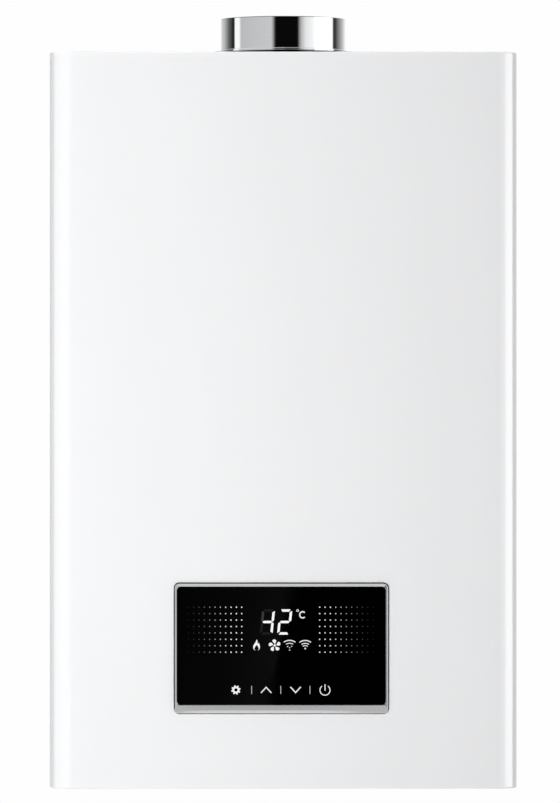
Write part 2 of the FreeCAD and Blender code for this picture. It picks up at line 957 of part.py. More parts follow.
def make_bottom_plate():
    plate = Piece("bottom_plate")
    hem = floor_top + s.plate_flange
    profile = plate.on("YZ").chain(
        (plate_front, floor_under),
        (back_face, floor_under),
        (back_face, hem),
        (back_face - s.chassis_sheet, hem),
        (back_face - s.chassis_sheet, floor_top),
        (plate_front + s.chassis_sheet, floor_top),
        (plate_front + s.chassis_sheet, hem),
        (plate_front, hem),
    )
    plate.pad(profile, 2 * plate_half, both=True)
    trim_front_corners(plate)
    openings = plate.on("XY", floor_top)
    for x in mirror_pair(s.water_side):
        openings.circle(x, water_y, s.water_thread_radius + s.stub_clearance)
    openings.circle(0, gas_y, s.gas_thread_radius + s.stub_clearance)
    openings.circle(s.gland_right, gland_y, s.gland_thread + s.stub_clearance)
    plate.pocket(openings, 3 * s.chassis_sheet)
    slot_x = (s.air_slot_left, s.air_slot_left + s.air_slot_width)
    slot_y = (-s.air_slot_rear - s.air_slot_length, -s.air_slot_rear)
    slot = plate.on("XY", floor_top).rounded(slot_x, slot_y, 0.45 * s.air_slot_width)
    first = plate.pocket(slot, 3 * s.chassis_sheet)
    plate.row([first], "X", s.air_slot_pitch, s.air_slot_count)
    holes = plate.on("XZ", back_face)
    for x, z in chassis_screw_spots[4:]:
        holes.circle(x, z, screw_hole)
    plate.pocket(holes, 2 * s.chassis_sheet, back=True)


def make_flue_collar():
    collar = Piece("flue_collar")
    outer = s.collar_radius
    inner = outer - s.collar_wall
    seat = plate_top + s.gasket_thickness
    rise = top + s.collar_rise - seat
    low = s.bead_low - s.gasket_thickness
    neck = low + s.bead_width
    brim = outer + s.bead_swell
    collar.turn(
        collar.on("XZ").chain(
            (inner, neck),
            (outer, neck),
            (outer, rise),
            (inner, rise),
        )
    )
    collar.round(s.rim_round, lambda e: near(e.CenterOfMass.z, rise) and near(e.BoundBox.ZLength, 0))
    collar.set_at((0, flue_y, seat))

    flange = Piece("collar_flange")
    flange.turn(
        flange.on("XZ").chain(
            (inner, 0),
            (s.collar_flange_radius, 0),
            (s.collar_flange_radius, s.collar_flange),
            (outer, s.collar_flange),
            (outer, low),
            (brim, low),
            (brim, neck),
            (inner, neck),
        )
    )
    flange.round(s.bead_round, lambda e: near(e.BoundBox.XLength, 2 * brim) and near(e.BoundBox.ZLength, 0))
    holes = flange.on("XY", s.collar_flange)
    for x, y in collar_screw_spots:
        holes.circle(x, y, screw_hole)
    flange.pocket(holes, 2 * s.collar_flange)
    flange.set_at((0, flue_y, seat))

    gasket = Piece("collar_gasket")
    rings = gasket.on("XY").circle(0, 0, s.collar_flange_radius - s.gasket_inset)
    rings.circle(0, 0, inner + s.gasket_inset)
    for x, y in collar_screw_spots:
        rings.circle(x, y, screw_hole)
    gasket.pad(rings, s.gasket_thickness)
    gasket.set_at((0, flue_y, plate_top))

    under_head = seat + s.collar_flange
    seats = [(x, y + flue_y, under_head) for x, y in collar_screw_spots]
    screws("collar_screws", seats, "-Z", under_head - plate_under + s.screw_tail)


def make_casing_screws():
    out = half_width + s.screw_clearance
    grip = out - chassis_half + s.chassis_sheet + s.screw_tail
    left = [(-out, cover_screw_y, level) for level in mirror_pair(s.cover_screw_drop)]
    right = [(out, cover_screw_y, level) for level in mirror_pair(s.cover_screw_drop)]
    sides = []
    for name, seats, axis in (("left", left, "X"), ("right", right, "-X")):
        sides.append(screws("cover_screws_" + name, seats, axis, grip))
        del NODES["cover_screws_" + name]
    keep("cover_screws", group("cover_screws", *sides))
    seats = [(x, back_face - s.chassis_sheet, z) for x, z in chassis_screw_spots]
    screws("chassis_screws", seats, "Y", 2 * s.chassis_sheet)


def make_control_panel():
    half = s.panel_width / 2
    low, high = panel_z - s.panel_height / 2, panel_z + s.panel_height / 2
    face = front - s.panel_proud
    glass_x = (panel_x - half + s.rim_side, panel_x + half - s.rim_side)
    glass_z = (low + s.rim_chin, high - s.rim_top)

    bezel = Piece("display_bezel")
    frame = ((panel_x - half, panel_x + half), (low, high), s.panel_corner)
    shoulder = face + s.rim_fall
    crease = low + s.rim_chin - s.chin_gap
    bezel.pad(bezel.on("XZ", front).rounded(*frame), s.panel_proud - s.rim_fall)
    slope = bezel.pad(bezel.on("XZ", shoulder).rounded(*frame), s.rim_fall)
    bind(slope, "TaperAngle", -s.rim_slope)
    doc.recompute()
    bezel.round(s.rim_curve, lambda e: near(e.BoundBox.YMin, shoulder) and near(e.BoundBox.YMax, shoulder))
    chin = bezel.on("YZ", panel_x).chain(
        (face - 1, low - 1),
        (front, low - 1),
        (front, low),
        (front - s.chin_edge, low, -s.chin_curve),
        (face + s.chin_fall, low + s.chin_lift),
        (face, crease),
        (face - 1, crease),
    )
    bezel.pocket(chin, 2 * s.panel_width, both=True)
    bezel.pocket(bezel.on("XZ", face).rounded(glass_x, glass_z, s.glass_corner),
                 s.glass_recess + s.glass_thickness + s.glass_gap)
    light_x = (glass_x[0] + s.glass_ledge, glass_x[1] - s.glass_ledge)
    light_z = (glass_z[0] + s.glass_ledge, glass_z[1] - s.glass_ledge)
    bezel.pocket(bezel.on("XZ", face).rounded(light_x, light_z, s.glass_corner), 2 * s.panel_proud)

    glass = Piece("display_glass")
    gap = s.glass_gap
    pane_x = (glass_x[0] + gap, glass_x[1] - gap)
    pane_z = (glass_z[0] + gap, glass_z[1] - gap)
    glass_back = face + s.glass_recess + s.glass_thickness
    glass.pad(glass.on("XZ", glass_back).rounded(pane_x, pane_z, s.glass_corner - gap), s.glass_thickness)

    housing = Piece("display_housing")
    box_x = (window_x[0] + s.window_gap, window_x[1] - s.window_gap)
    box_z = (window_z[0] + s.window_gap, window_z[1] - s.window_gap)
    back = front + s.housing_depth
    housing.pad(housing.on("XZ", back).rounded(box_x, box_z, s.panel_corner - s.window_gap), s.housing_depth)
    housing.hollow(s.housing_wall, lambda f: facing(f, "-Y", front))
    ears = housing.on("XZ", cover_inside + s.cover_gap + s.housing_wall)
    for x in ((box_x[0] - s.ear_reach, box_x[0]), (box_x[1], box_x[1] + s.ear_reach)):
        for z in mirror_pair(s.ear_spread / 2):
            ears.rectangle(x, (panel_z + z - s.ear_width / 2, panel_z + z + s.ear_width / 2))
    housing.pad(ears, s.housing_wall)
    socket = housing.on("XZ", back).rectangle(
        (plug_x - s.plug_width / 2 - s.plug_gap, plug_x + s.plug_width / 2 + s.plug_gap),
        (panel_z - s.plug_height / 2 - s.plug_gap, panel_z + s.plug_height / 2 + s.plug_gap),
    )
    housing.pocket(socket, 2 * s.housing_wall, back=True)

    inset = s.housing_wall + s.board_margin
    inside_x = (box_x[0] + inset, box_x[1] - inset)
    inside_z = (box_z[0] + inset, box_z[1] - inset)
    board_front = front + s.board_setback
    board = block("display_board_sheet", inside_x, (board_front, board_front + s.board_thickness), inside_z)
    digits_z = panel_z + s.digit_rise
    module = block(
        "display_board_digits",
        (panel_x - s.digit_width / 2, panel_x + s.digit_width / 2),
        (front + s.digit_setback, board_front),
        (digits_z - s.digit_height / 2, digits_z + s.digit_height / 2),
    )
    keys = []
    for i in range(4):
        key_x = panel_x + (i - 1.5) * s.key_pitch
        at = (key_x, board_front, panel_z - s.key_drop)
        keys.append(rod(f"display_board_key{i}", s.key_radius, board_front - front - s.digit_setback, at, "-Y"))
    header = block(
        "display_board_header",
        (plug_x - s.plug_width / 2, plug_x + s.plug_width / 2),
        (board_front + s.board_thickness, plug_tip - s.plug_gap),
        (panel_z - s.plug_height / 2, panel_z + s.plug_height / 2),
    )
    chips = [
        block(
            f"display_board_chip{i}",
            (panel_x + x, panel_x + x + s.chip_size),
            (board_front + s.board_thickness, board_front + s.board_thickness + s.chip_height),
            (panel_z + z, panel_z + z + s.chip_size),
        )
        for i, (x, z) in enumerate(((-8.0, -8.0), (24.0, 8.0), (30.0, -24.0)))
    ]
    feet = []
    for i, x in enumerate(inside_x):
        reach = s.post_radius + 1
        x_in = x + reach if i == 0 else x - reach
        for j, z in enumerate(inside_z):
            z_in = z + reach if j == 0 else z - reach
            length = back - s.housing_wall - board_front - s.board_thickness
            feet.append(rod(f"display_board_foot{i}{j}", s.post_radius, length,
                            (x_in, board_front + s.board_thickness, z_in), "Y"))
    keep("display_board", fuse("display_board", board, module, header, *keys, *chips, *feet))


def scroll_outline(piece, at):
    """The fan scroll: three growing quarter turns, then straight up to the outlet."""
    first = s.scroll_start
    second = first + s.scroll_step
    third = second + s.scroll_step
    centre = s.scroll_step / 2
    left = -centre - third
    right = left + s.outlet_width
    crest = first - centre
    return piece.on("XZ", at).chain(
        (left, centre, third),
        (-centre, -centre - second, second),
        (first + centre, -centre, first),
        (centre, crest),
        (right, crest),
        (right, s.fan_axis_drop),
        (left, s.fan_axis_drop),
    )


def make_fan():
    left = -s.scroll_start - 2.5 * s.scroll_step
    right = left + s.outlet_width
    inner_rear = fan_rear - s.fan_sheet
    at = (fan_x, 0, fan_z)

    housing = Piece("fan_housing")
    housing.pad(scroll_outline(housing, inner_rear), s.fan_width - s.fan_sheet)
    housing.hollow(
        s.fan_sheet,
        lambda f: facing(f, "Y", inner_rear) or facing(f, "Z", s.fan_axis_drop),
    )
    rim = s.outlet_flange
    flange = housing.on("XY", s.fan_axis_drop - s.fan_sheet)
    flange.rectangle((left - rim, right + rim), (fan_front - rim, fan_rear + rim))
    flange.rectangle((left, right), (fan_front, fan_rear))
    housing.pad(flange, s.fan_sheet)
    tap = housing.on("YZ", left).circle(flue_y, s.tap_rise, s.nipple_radius)
    housing.pad(tap, s.nipple_length, back=True)
    holes = housing.on("XZ", fan_front).circle(0, 0, s.motor_boss_radius + s.motor_clearance)
    for x, z in motor_screw_spots:
        holes.circle(x, z, screw_hole)
    housing.pocket(holes, 2 * s.fan_sheet)
    housing.set_at(at)

    plate = Piece("fan_inlet_plate")
    plate.pad(scroll_outline(plate, fan_rear), s.fan_sheet)
    throat = plate.on("XZ", inner_rear).circle(0, 0, s.inlet_radius + s.fan_sheet)
    plate.pad(throat, s.inlet_throat)
    plate.pocket(plate.on("XZ", fan_rear).circle(0, 0, s.inlet_radius), both=True)
    plate.set_at(at)

    wheel = Piece("fan_wheel")
    bore = s.shaft_radius + s.shaft_clearance
    wheel.turn(
        wheel.on("XZ").chain(
            (bore, 0),
            (s.wheel_radius, 0),
            (s.wheel_radius, s.wheel_plate),
            (s.wheel_hub_radius, s.wheel_plate),
            (s.wheel_hub_radius, s.wheel_hub_length),
            (bore, s.wheel_hub_length),
        )
    )
    blade = wheel.pad(blade_outline(wheel), s.wheel_width - s.wheel_plate)
    wheel.ring([blade], "Z", s.blade_count)
    wheel.turn(
        wheel.on("XZ").rectangle((s.wheel_eye_radius, s.wheel_radius), (s.wheel_width - s.wheel_plate, s.wheel_width))
    )
    wheel_front = fan_front + s.fan_sheet + s.wheel_front_gap
    wheel.set_at((fan_x, wheel_front, fan_z), "Y")

    body_end = s.motor_flange + s.motor_length
    motor_end = body_end + s.motor_boss_length
    shaft = turned(
        "fan_shaft",
        [
            (0, 0),
            (s.shaft_radius, 0),
            (s.shaft_radius, wheel_front + s.wheel_hub_length - fan_front + motor_end - s.shaft_setback),
            (0, wheel_front + s.wheel_hub_length - fan_front + motor_end - s.shaft_setback),
        ],
        (fan_x, fan_front - motor_end + s.shaft_setback, fan_z),
        "Y",
    )
    shaft.bevel(s.shaft_bevel, lambda e: e.BoundBox.ZLength < 1e-6)

    motor = Piece("fan_motor")
    edge = s.motor_corner
    motor.turn(
        motor.on("XZ").chain(
            (bore, -s.fan_sheet),
            (s.motor_boss_radius, -s.fan_sheet),
            (s.motor_boss_radius, 0),
            (s.motor_screw_circle + s.screw_head_radius, 0),
            (s.motor_screw_circle + s.screw_head_radius, s.motor_flange),
            (s.motor_radius, s.motor_flange),
            (s.motor_radius, body_end - edge, edge),
            (s.motor_radius - edge, body_end),
            (s.motor_boss_radius, body_end),
            (s.motor_boss_radius, motor_end),
            (bore, motor_end),
        )
    )
    vent = motor.on("XY", body_end).rounded(
        (s.motor_radius - 3 * edge, s.motor_radius - edge),
        mirror_pair(s.vent_width / 2),
        0.45 * s.vent_width,
    )
    slot = motor.pocket(vent, s.vent_depth)
    motor.ring([slot], "Z", s.vent_count)
    holes = motor.on("XY", s.motor_flange)
    for x, z in motor_screw_spots:
        holes.circle(x, z, screw_hole)
    motor.pocket(holes, 2 * s.motor_flange)
    motor.set_at((fan_x, fan_front, fan_z), "-Y")

    seats = [(x + fan_x, fan_front - s.motor_flange, z + fan_z) for x, z in motor_screw_spots]
    screws("motor_screws", seats, "Y", s.motor_flange + s.fan_sheet + s.screw_tail)


def blade_outline(wheel):
    """One forward-curved blade: two arcs of one radius, a blade's thickness apart."""
    turn = s.blade_thickness / s.wheel_radius
    tip_angle = math.radians(16)
    inner = s.wheel_eye_radius + s.wheel_plate
    outer = s.wheel_radius - s.wheel_plate / 4
    span = turn.value
    root_angle = -span * outer.value / inner.value
    return wheel.on("XY", s.wheel_plate).chain(
        (inner * math.cos(root_angle), inner * math.sin(root_angle), s.blade_curve),
        (outer * math.cos(tip_angle - span), outer * math.sin(tip_angle - span)),
        (outer * math.cos(tip_angle), outer * math.sin(tip_angle), -s.blade_curve),
        (inner, 0),
    )


def make_flue_hood():
    hood = Piece("flue_hood")
    plenum_rear = fan_rear + s.plenum_depth
    profile = hood.on("YZ").chain(
        (chamber_y[0], chamber_top),
        (chamber_y[1], chamber_top),
        (plenum_rear, hood_top),
        (plenum_rear, fan_z + s.plenum_head),
        (fan_rear, fan_z + s.plenum_head),
        (fan_rear, hood_top),
        (chamber_y[0] + s.hood_slope, hood_top),
    )
    hood.pad(profile, s.chamber_width, both=True)
    hood.round(s.hood_round, lambda e: along(e, "Z") and near(e.CenterOfMass.y, plenum_rear))
    hood.hollow(s.hood_sheet, lambda f: facing(f, "-Z", chamber_top))
    hood.pocket(hood.on("XZ", fan_rear).circle(fan_x, fan_z, s.inlet_radius), 2 * s.hood_sheet)


def make_pressure_switch():
    base = s.switch_thickness / 4
    neck = s.switch_radius / 2
    seam = (base + s.switch_thickness) / 2
    end = s.switch_thickness + s.nipple_length
    turned(
        "pressure_switch",
        [
            (0, 0),
            (neck, 0),
            (neck, base),
            (s.switch_radius - s.switch_rim, base),
            (s.switch_radius - s.switch_rim, seam - s.switch_rim / 2),
            (s.switch_radius, seam - s.switch_rim / 2),
            (s.switch_radius, seam + s.switch_rim / 2),
            (s.switch_radius - s.switch_rim, seam + s.switch_rim / 2),
            (neck, s.switch_thickness),
            (s.nipple_radius, s.switch_thickness),
            (s.nipple_radius, end),
            (0, end),
        ],
        (-s.switch_left, fan_rear, fan_z),
        "-Y",
    )
    face = fan_rear - s.switch_thickness - s.sensing_gap
    wall_x = fan_x - s.scroll_start - 2.5 * s.scroll_step - s.sensing_gap
    bend_y = face - s.sensing_run
    tap_z = fan_z + s.tap_rise
    bent_tube(
        "pressure_tube",
        [
            (-s.switch_left, face, fan_z),
            (-s.switch_left, bend_y, fan_z),
            (wall_x - s.sensing_run, flue_y, tap_z),
            (wall_x, flue_y, tap_z),
        ],
        s.sensing_bend,
        s.sensing_radius,
        s.sensing_radius - s.sensing_bore,
    )


def make_heat_exchanger():
    chamber = Piece("combustion_chamber")
    wall = s.chamber_sheet
    inner_x = mirror_pair(s.chamber_width / 2 - wall)
    inner_y = (chamber_y[0] + wall, chamber_y[1] - wall)
    ring = chamber.on("XY", chamber_low).rounded(chamber_x, chamber_y, s.chamber_corner)
    ring.rounded(inner_x, inner_y, s.chamber_corner - wall)
    chamber.pad(ring, s.chamber_height)
    tubes = chamber.on("YZ")
    for y in tube_places:
        tubes.circle(y, tube_z, s.tube_radius + s.tube_gap)
    chamber.pocket(tubes, both=True)
    ports = chamber.on("XZ", chamber_y[0])
    for x in (-s.spark_spacing / 2, s.spark_spacing / 2, s.flame_rod_right):
        ports.circle(x, electrode_z, s.ceramic_radius + s.screw_clearance)
    chamber.pocket(ports, 2 * wall)

    fins = Piece("fin_block")
    gap = s.tube_gap
    start = -(s.fin_count - 1) / 2 * s.fin_pitch - s.fin_sheet / 2
    plate = fins.on("YZ", start).rounded(
        (inner_y[0] + gap, inner_y[1] - gap),
        (tube_z - s.fin_height / 2, tube_z + s.fin_height / 2),
        s.chamber_corner,
    )
    for y in tube_places:
        plate.circle(y, tube_z, s.tube_radius + gap)
    first = fins.pad(plate, s.fin_sheet)
    fins.row([first], "X", s.fin_pitch, s.fin_count)

    runs = []
    for i, y in enumerate(tube_places):
        ends = (tube_end, -tube_end) if i % 2 == 0 else (-tube_end, tube_end)
        runs += [(x, y, tube_z) for x in ends]
    bent_tube("exchanger_tube", runs, 0.49 * s.tube_pitch, s.tube_radius, s.tube_wall)

    rise = s.coil_rise
    second = coil_z + s.coil_turn
    bent_tube(
        "chamber_coil",
        [
            (riser_x, riser_y, union_z),
            (riser_x, riser_y, coil_z),
            (riser_x, coil_rear, coil_z),
            (-coil_x, coil_rear, coil_z + rise),
            (-coil_x, coil_front, coil_z + 2 * rise),
            (coil_x, coil_front, coil_z + 3 * rise),
            (coil_x, coil_rear, second),
            (-coil_x, coil_rear, second + rise),
            (-coil_x, coil_front, second + 2 * rise),
            (riser_x, coil_front, second + 3 * rise),
            (riser_x, tube_places[0], tube_z),
            (tube_end, tube_places[0], tube_z),
        ],
        s.coil_bend,
        s.coil_radius,
        s.tube_wall,
    )

    discs = Piece("overheat_thermostats")
    ear = s.thermostat_radius + s.thermostat_ear
    disc = discs.turn(
        discs.on("XZ").chain(
            (0, 0),
            (ear, 0),
            (ear, s.chamber_sheet),
            (s.thermostat_radius, s.chamber_sheet),
            (s.thermostat_radius, s.thermostat_height),
            (s.thermostat_radius / 2, s.thermostat_height),
            (s.thermostat_radius / 2, 1.5 * s.thermostat_height),
            (0, 1.5 * s.thermostat_height),
        )
    )
    discs.row([disc], "X", s.thermostat_span, 2)
    discs.set_at((-s.thermostat_span / 2, chamber_y[0], tube_z), "-Y")

    brackets = Piece("chamber_brackets")
    half = s.bracket_half
    foot = half + s.bracket_foot
    sheet_in = s.chassis_sheet
    hat = brackets.on("XY", chamber_low + s.bracket_rise).chain(
        (-foot, back_face),
        (-foot, back_face - sheet_in),
        (-half, back_face - sheet_in),
        (-half, chamber_y[1]),
        (half, chamber_y[1]),
        (half, back_face - sheet_in),
        (foot, back_face - sheet_in),
        (foot, back_face),
        (half - sheet_in, back_face),
        (half - sheet_in, chamber_y[1] + sheet_in),
        (sheet_in - half, chamber_y[1] + sheet_in),
        (sheet_in - half, back_face),
    )
    first = brackets.pad(hat, s.bracket_height)
    brackets.row([first], "Z", s.bracket_pitch, 2)


def make_burner():
    box = Piece("burner_box")
    wall = s.burner_sheet
    outer_x = mirror_pair(s.chamber_width / 2 - s.burner_inset)
    inner_x = mirror_pair(s.chamber_width / 2 - s.burner_inset - wall)
    inner_y = (chamber_y[0] + wall, chamber_y[1] - wall)
    ring = box.on("XY", burner_low).rectangle(outer_x, chamber_y)
    ring.rectangle(inner_x, inner_y)
    box.pad(ring, s.burner_height)
    box.pad(box.on("XY", burner_low).rectangle(outer_x, chamber_y), wall)
    flange = box.on("XY", chamber_low - wall).rectangle(chamber_x, chamber_y)
    flange.rectangle(inner_x, inner_y)
    box.pad(flange, wall)
    inlet = box.on("XZ", chamber_y[0]).circle(bar_left, venturi_z, s.venturi_radius + s.air_margin)
    first = box.pocket(inlet, 2 * wall)
    box.row([first], "X", s.bar_pitch, s.bar_count)
    gap_x = bar_left + s.bar_pitch / 2
    vent = box.on("XY", burner_low + wall).rounded(
        (gap_x - s.vent_width / 2, gap_x + s.vent_width / 2),
        (inner_y[0] + s.vent_margin, inner_y[1] - s.vent_margin),
        0.45 * s.vent_width,
    )
    first = box.pocket(vent, 2 * wall)
    box.row([first], "X", s.bar_pitch, s.bar_count - 1)

    bars = Piece("burner_bars")
    low = burner_low + wall
    high = low + s.bar_height
    nose = chamber_y[0] + wall + s.bar_gap
    tail = nose + s.bar_length
    throat = low + 2 * s.venturi_rise
    head = high - s.bar_head
    curve = 2 * s.venturi_rise
    neck = tail - s.bar_neck
    profile = bars.on("YZ", bar_left).chain(
        (nose, low),
        (tail - curve, low, curve),
        (tail, low + curve),
        (tail, high),
        (nose, high),
        (nose, head),
        (neck - s.bar_round, head, -s.bar_round),
        (neck, head - s.bar_round),
        (neck, throat + s.bar_round, -s.bar_round),
        (neck - s.bar_round, throat),
        (nose, throat),
    )
    bar = bars.pad(profile, s.bar_thickness, both=True)
    bore = bars.pocket(bars.on("XZ", nose).circle(bar_left, venturi_z, s.venturi_radius), s.bar_length / 2)
    port = bars.on("YZ", bar_left).rectangle(
        (nose + s.port_pitch / 2, nose + s.port_pitch / 2 + s.port_width), (high - s.port_depth, high + 1)
    )
    slot = bars.pocket(port, s.bar_thickness - 2 * s.burner_sheet, both=True)
    bars.row([slot], "Y", s.port_pitch, s.port_count)
    bars.row([], "X", s.bar_pitch, s.bar_count)

    manifold = Piece("gas_manifold")
    length = (s.bar_count - 1) * s.bar_pitch + 2 * s.manifold_end
    outside_y = (manifold_rear - s.manifold_depth, manifold_rear)
    outside_z = (manifold_low, manifold_low + s.manifold_height)
    inside_y = (outside_y[0] + s.manifold_wall, outside_y[1] - s.manifold_wall)
    inside_z = (outside_z[0] + s.manifold_wall, outside_z[1] - s.manifold_wall)
    manifold.pad(manifold.on("YZ").rounded(outside_y, outside_z, s.manifold_wall), length, both=True)
    manifold.pocket(manifold.on("YZ").rectangle(inside_y, inside_z), length - 2 * s.manifold_wall, both=True)
    hole = manifold.on("XZ", manifold_rear).circle(bar_left, venturi_z, s.nozzle_bore + s.plug_gap)
    first = manifold.pocket(hole, 2 * s.manifold_wall, back=True)
    manifold.row([first], "X", s.bar_pitch, s.bar_count)
    feed = manifold.on("XY", manifold_low).circle(0, manifold_y, s.feed_radius - s.pipe_wall)
    manifold.pocket(feed, 2 * s.manifold_wall, back=True)

    nozzles = Piece("gas_nozzles")
    first = nozzles.turn(
        nozzles.on("XZ").chain(
            (0, 0),
            (s.nozzle_hex, 0),
            (s.nozzle_hex, s.nozzle_length / 2),
            (s.nozzle_tip, s.nozzle_length),
            (0, s.nozzle_length),
        )
    )
    nozzles.row([first], "X", s.bar_pitch, s.bar_count)
    nozzles.set_at((bar_left, manifold_rear, venturi_z), "Y")


def electrode(label, x, reach, count):
    """A wire in a ceramic sleeve, set through the front wall of the chamber."""
    piece = Piece(label)
    pin = s.electrode_wire + s.plug_gap
    cuff = s.ceramic_radius + s.ceramic_cuff
    first = piece.turn(
        piece.on("XZ").chain(
            (0, -s.terminal_reach),
            (pin, -s.terminal_reach),
            (pin, -s.ceramic_tail),
            (s.ceramic_radius, -s.ceramic_tail),
            (s.ceramic_radius, -s.ceramic_cuff),
            (cuff, -s.ceramic_cuff),
            (cuff, 0),
            (s.ceramic_radius, 0),
            (s.ceramic_radius, s.ceramic_tail),
            (s.electrode_wire, s.ceramic_tail),
            (s.electrode_wire, reach),
            (0, reach),
        )
    )
    if count > 1:
        piece.row([first], "X", s.spark_spacing, count)
    piece.set_at((x, chamber_y[0], electrode_z), "Y")


def solenoid(name, side, case_radius, case_length):
    """A coil on one side of the gas valve, and the plunger that slides in its bore."""
    axis = "-X" if side < 0 else "X"
    face = side * (s.valve_width / 2 + s.valve_boss)
    bore = s.plunger_radius + s.plunger_clearance
    depth = s.plunger_length - s.plunger_seat + s.plunger_travel + s.plunger_spare
    turned(
        name + "_coil",
        [
            (bore, 0),
            (case_radius - s.coil_step, 0),
            (case_radius - s.coil_step, s.coil_step),
            (case_radius, s.coil_step),
            (case_radius, case_length - s.coil_step),
            (case_radius - s.coil_step, case_length),
            (0, case_length),
            (0, depth),
            (bore, depth),
        ],
        (face, gas_y, plunger_z),
        axis,
    )
    turned(
        name + "_plunger",
        [
            (0, 0),
            (s.seat_radius, 0),
            (s.seat_radius, s.seat_thickness),
            (s.plunger_radius, s.seat_thickness),
            (s.plunger_radius, s.plunger_length),
            (0, s.plunger_length),
        ],
        (face - side * s.plunger_seat, gas_y, plunger_z),
        axis,
    )


def make_gas_train():
    turned(
        "gas_inlet_fitting",
        [
            (s.gas_bore, -s.chassis_sheet - s.gas_stub),
            (s.gas_thread_radius, -s.chassis_sheet - s.gas_stub),
            (s.gas_thread_radius, -s.chassis_sheet - s.relief_width),
            (s.gas_thread_radius - s.relief_depth, -s.chassis_sheet - s.relief_width),
            (s.gas_thread_radius - s.relief_depth, 0),
            (s.gas_thread_radius + s.fitting_flange, 0),
            (s.gas_thread_radius + s.fitting_flange, s.fitting_flange),
            (s.gas_thread_radius, s.fitting_flange),
            (s.gas_thread_radius, s.valve_lift),
            (s.gas_bore, s.valve_lift),
        ],
        (0, gas_y, floor_top),
    )

    valve = Piece("gas_valve_body")
    half = s.valve_width / 2
    block_x = mirror_pair(half)
    block_y = (gas_y - s.valve_depth / 2, gas_y + s.valve_depth / 2)
    valve.pad(valve.on("XY", valve_low).rounded(block_x, block_y, s.valve_corner), s.valve_height)
    valve.round(s.valve_edge, lambda e: near(e.CenterOfMass.z, valve_top) and near(e.BoundBox.ZLength, 0))
    boss = s.seat_radius + 2 * s.valve_boss
    valve.pad(valve.on("YZ", half).circle(gas_y, plunger_z, boss), s.valve_boss)
    valve.pad(valve.on("YZ", -half).circle(gas_y, plunger_z, boss), s.valve_boss, back=True)
    rib = valve.on("XZ", block_y[0]).rectangle(
        (-s.valve_rib_pitch - s.valve_rib / 2, -s.valve_rib_pitch + s.valve_rib / 2),
        (valve_low + s.valve_corner, valve_top - s.valve_corner),
    )
    first = valve.pad(rib, s.valve_rib)
    valve.row([first], "X", s.valve_rib_pitch, 3)
    for side, back in ((1, False), (-1, True)):
        start = side * (half + s.valve_boss)
        hole = valve.on("YZ", start).circle(gas_y, plunger_z, s.seat_radius + s.seat_clearance)
        valve.pocket(hole, s.plunger_seat, back=back)
    valve.pocket(valve.on("XY", valve_low).circle(0, gas_y, s.gas_bore), s.valve_height / 4, back=True)
    valve.pocket(valve.on("XY", valve_top).circle(0, gas_y, s.feed_radius - s.pipe_wall), s.valve_height / 4)

    solenoid("shutoff", -1, s.coil_case_radius, s.coil_case_length)
    solenoid("modulating", 1, s.coil_case_radius + s.coil_step, s.coil_case_length)

    level = burner_low - s.feed_drop
    bent_tube(
        "gas_feed_pipe",
        [
            (0, gas_y, valve_top),
            (0, gas_y, level),
            (0, manifold_y, level),
            (0, manifold_y, manifold_low),
        ],
        s.feed_bend,
        s.feed_radius,
        s.pipe_wall,
    )


def water_fitting(label, x):
    """A threaded stub through the floor, with a plugged boss on its front."""
    piece = Piece(label)
    foot = s.fitting_flange_radius
    piece.turn(
        piece.on("XZ").chain(
            (0, -s.chassis_sheet - s.water_stub),
            (s.water_thread_radius, -s.chassis_sheet - s.water_stub),
            (s.water_thread_radius, -s.chassis_sheet - s.relief_width),
            (s.water_thread_radius - s.relief_depth, -s.chassis_sheet - s.relief_width),
            (s.water_thread_radius - s.relief_depth, 0),
            (foot, 0),
            (foot, s.fitting_flange),
            (s.fitting_radius, s.fitting_flange),
            (s.fitting_radius, s.fitting_height),
            (0, s.fitting_height),
        )
    )
    side = piece.on("XZ").circle(0, s.boss_rise, s.plug_radius + s.fitting_wall)
    piece.pad(side, s.boss_reach)
    piece.pocket(piece.on("XY", s.fitting_height).circle(0, 0, s.water_bore))
    piece.pocket(piece.on("XZ", -s.boss_reach).circle(0, s.boss_rise, s.plug_radius), s.boss_reach)
    piece.set_at((x, water_y, floor_top))


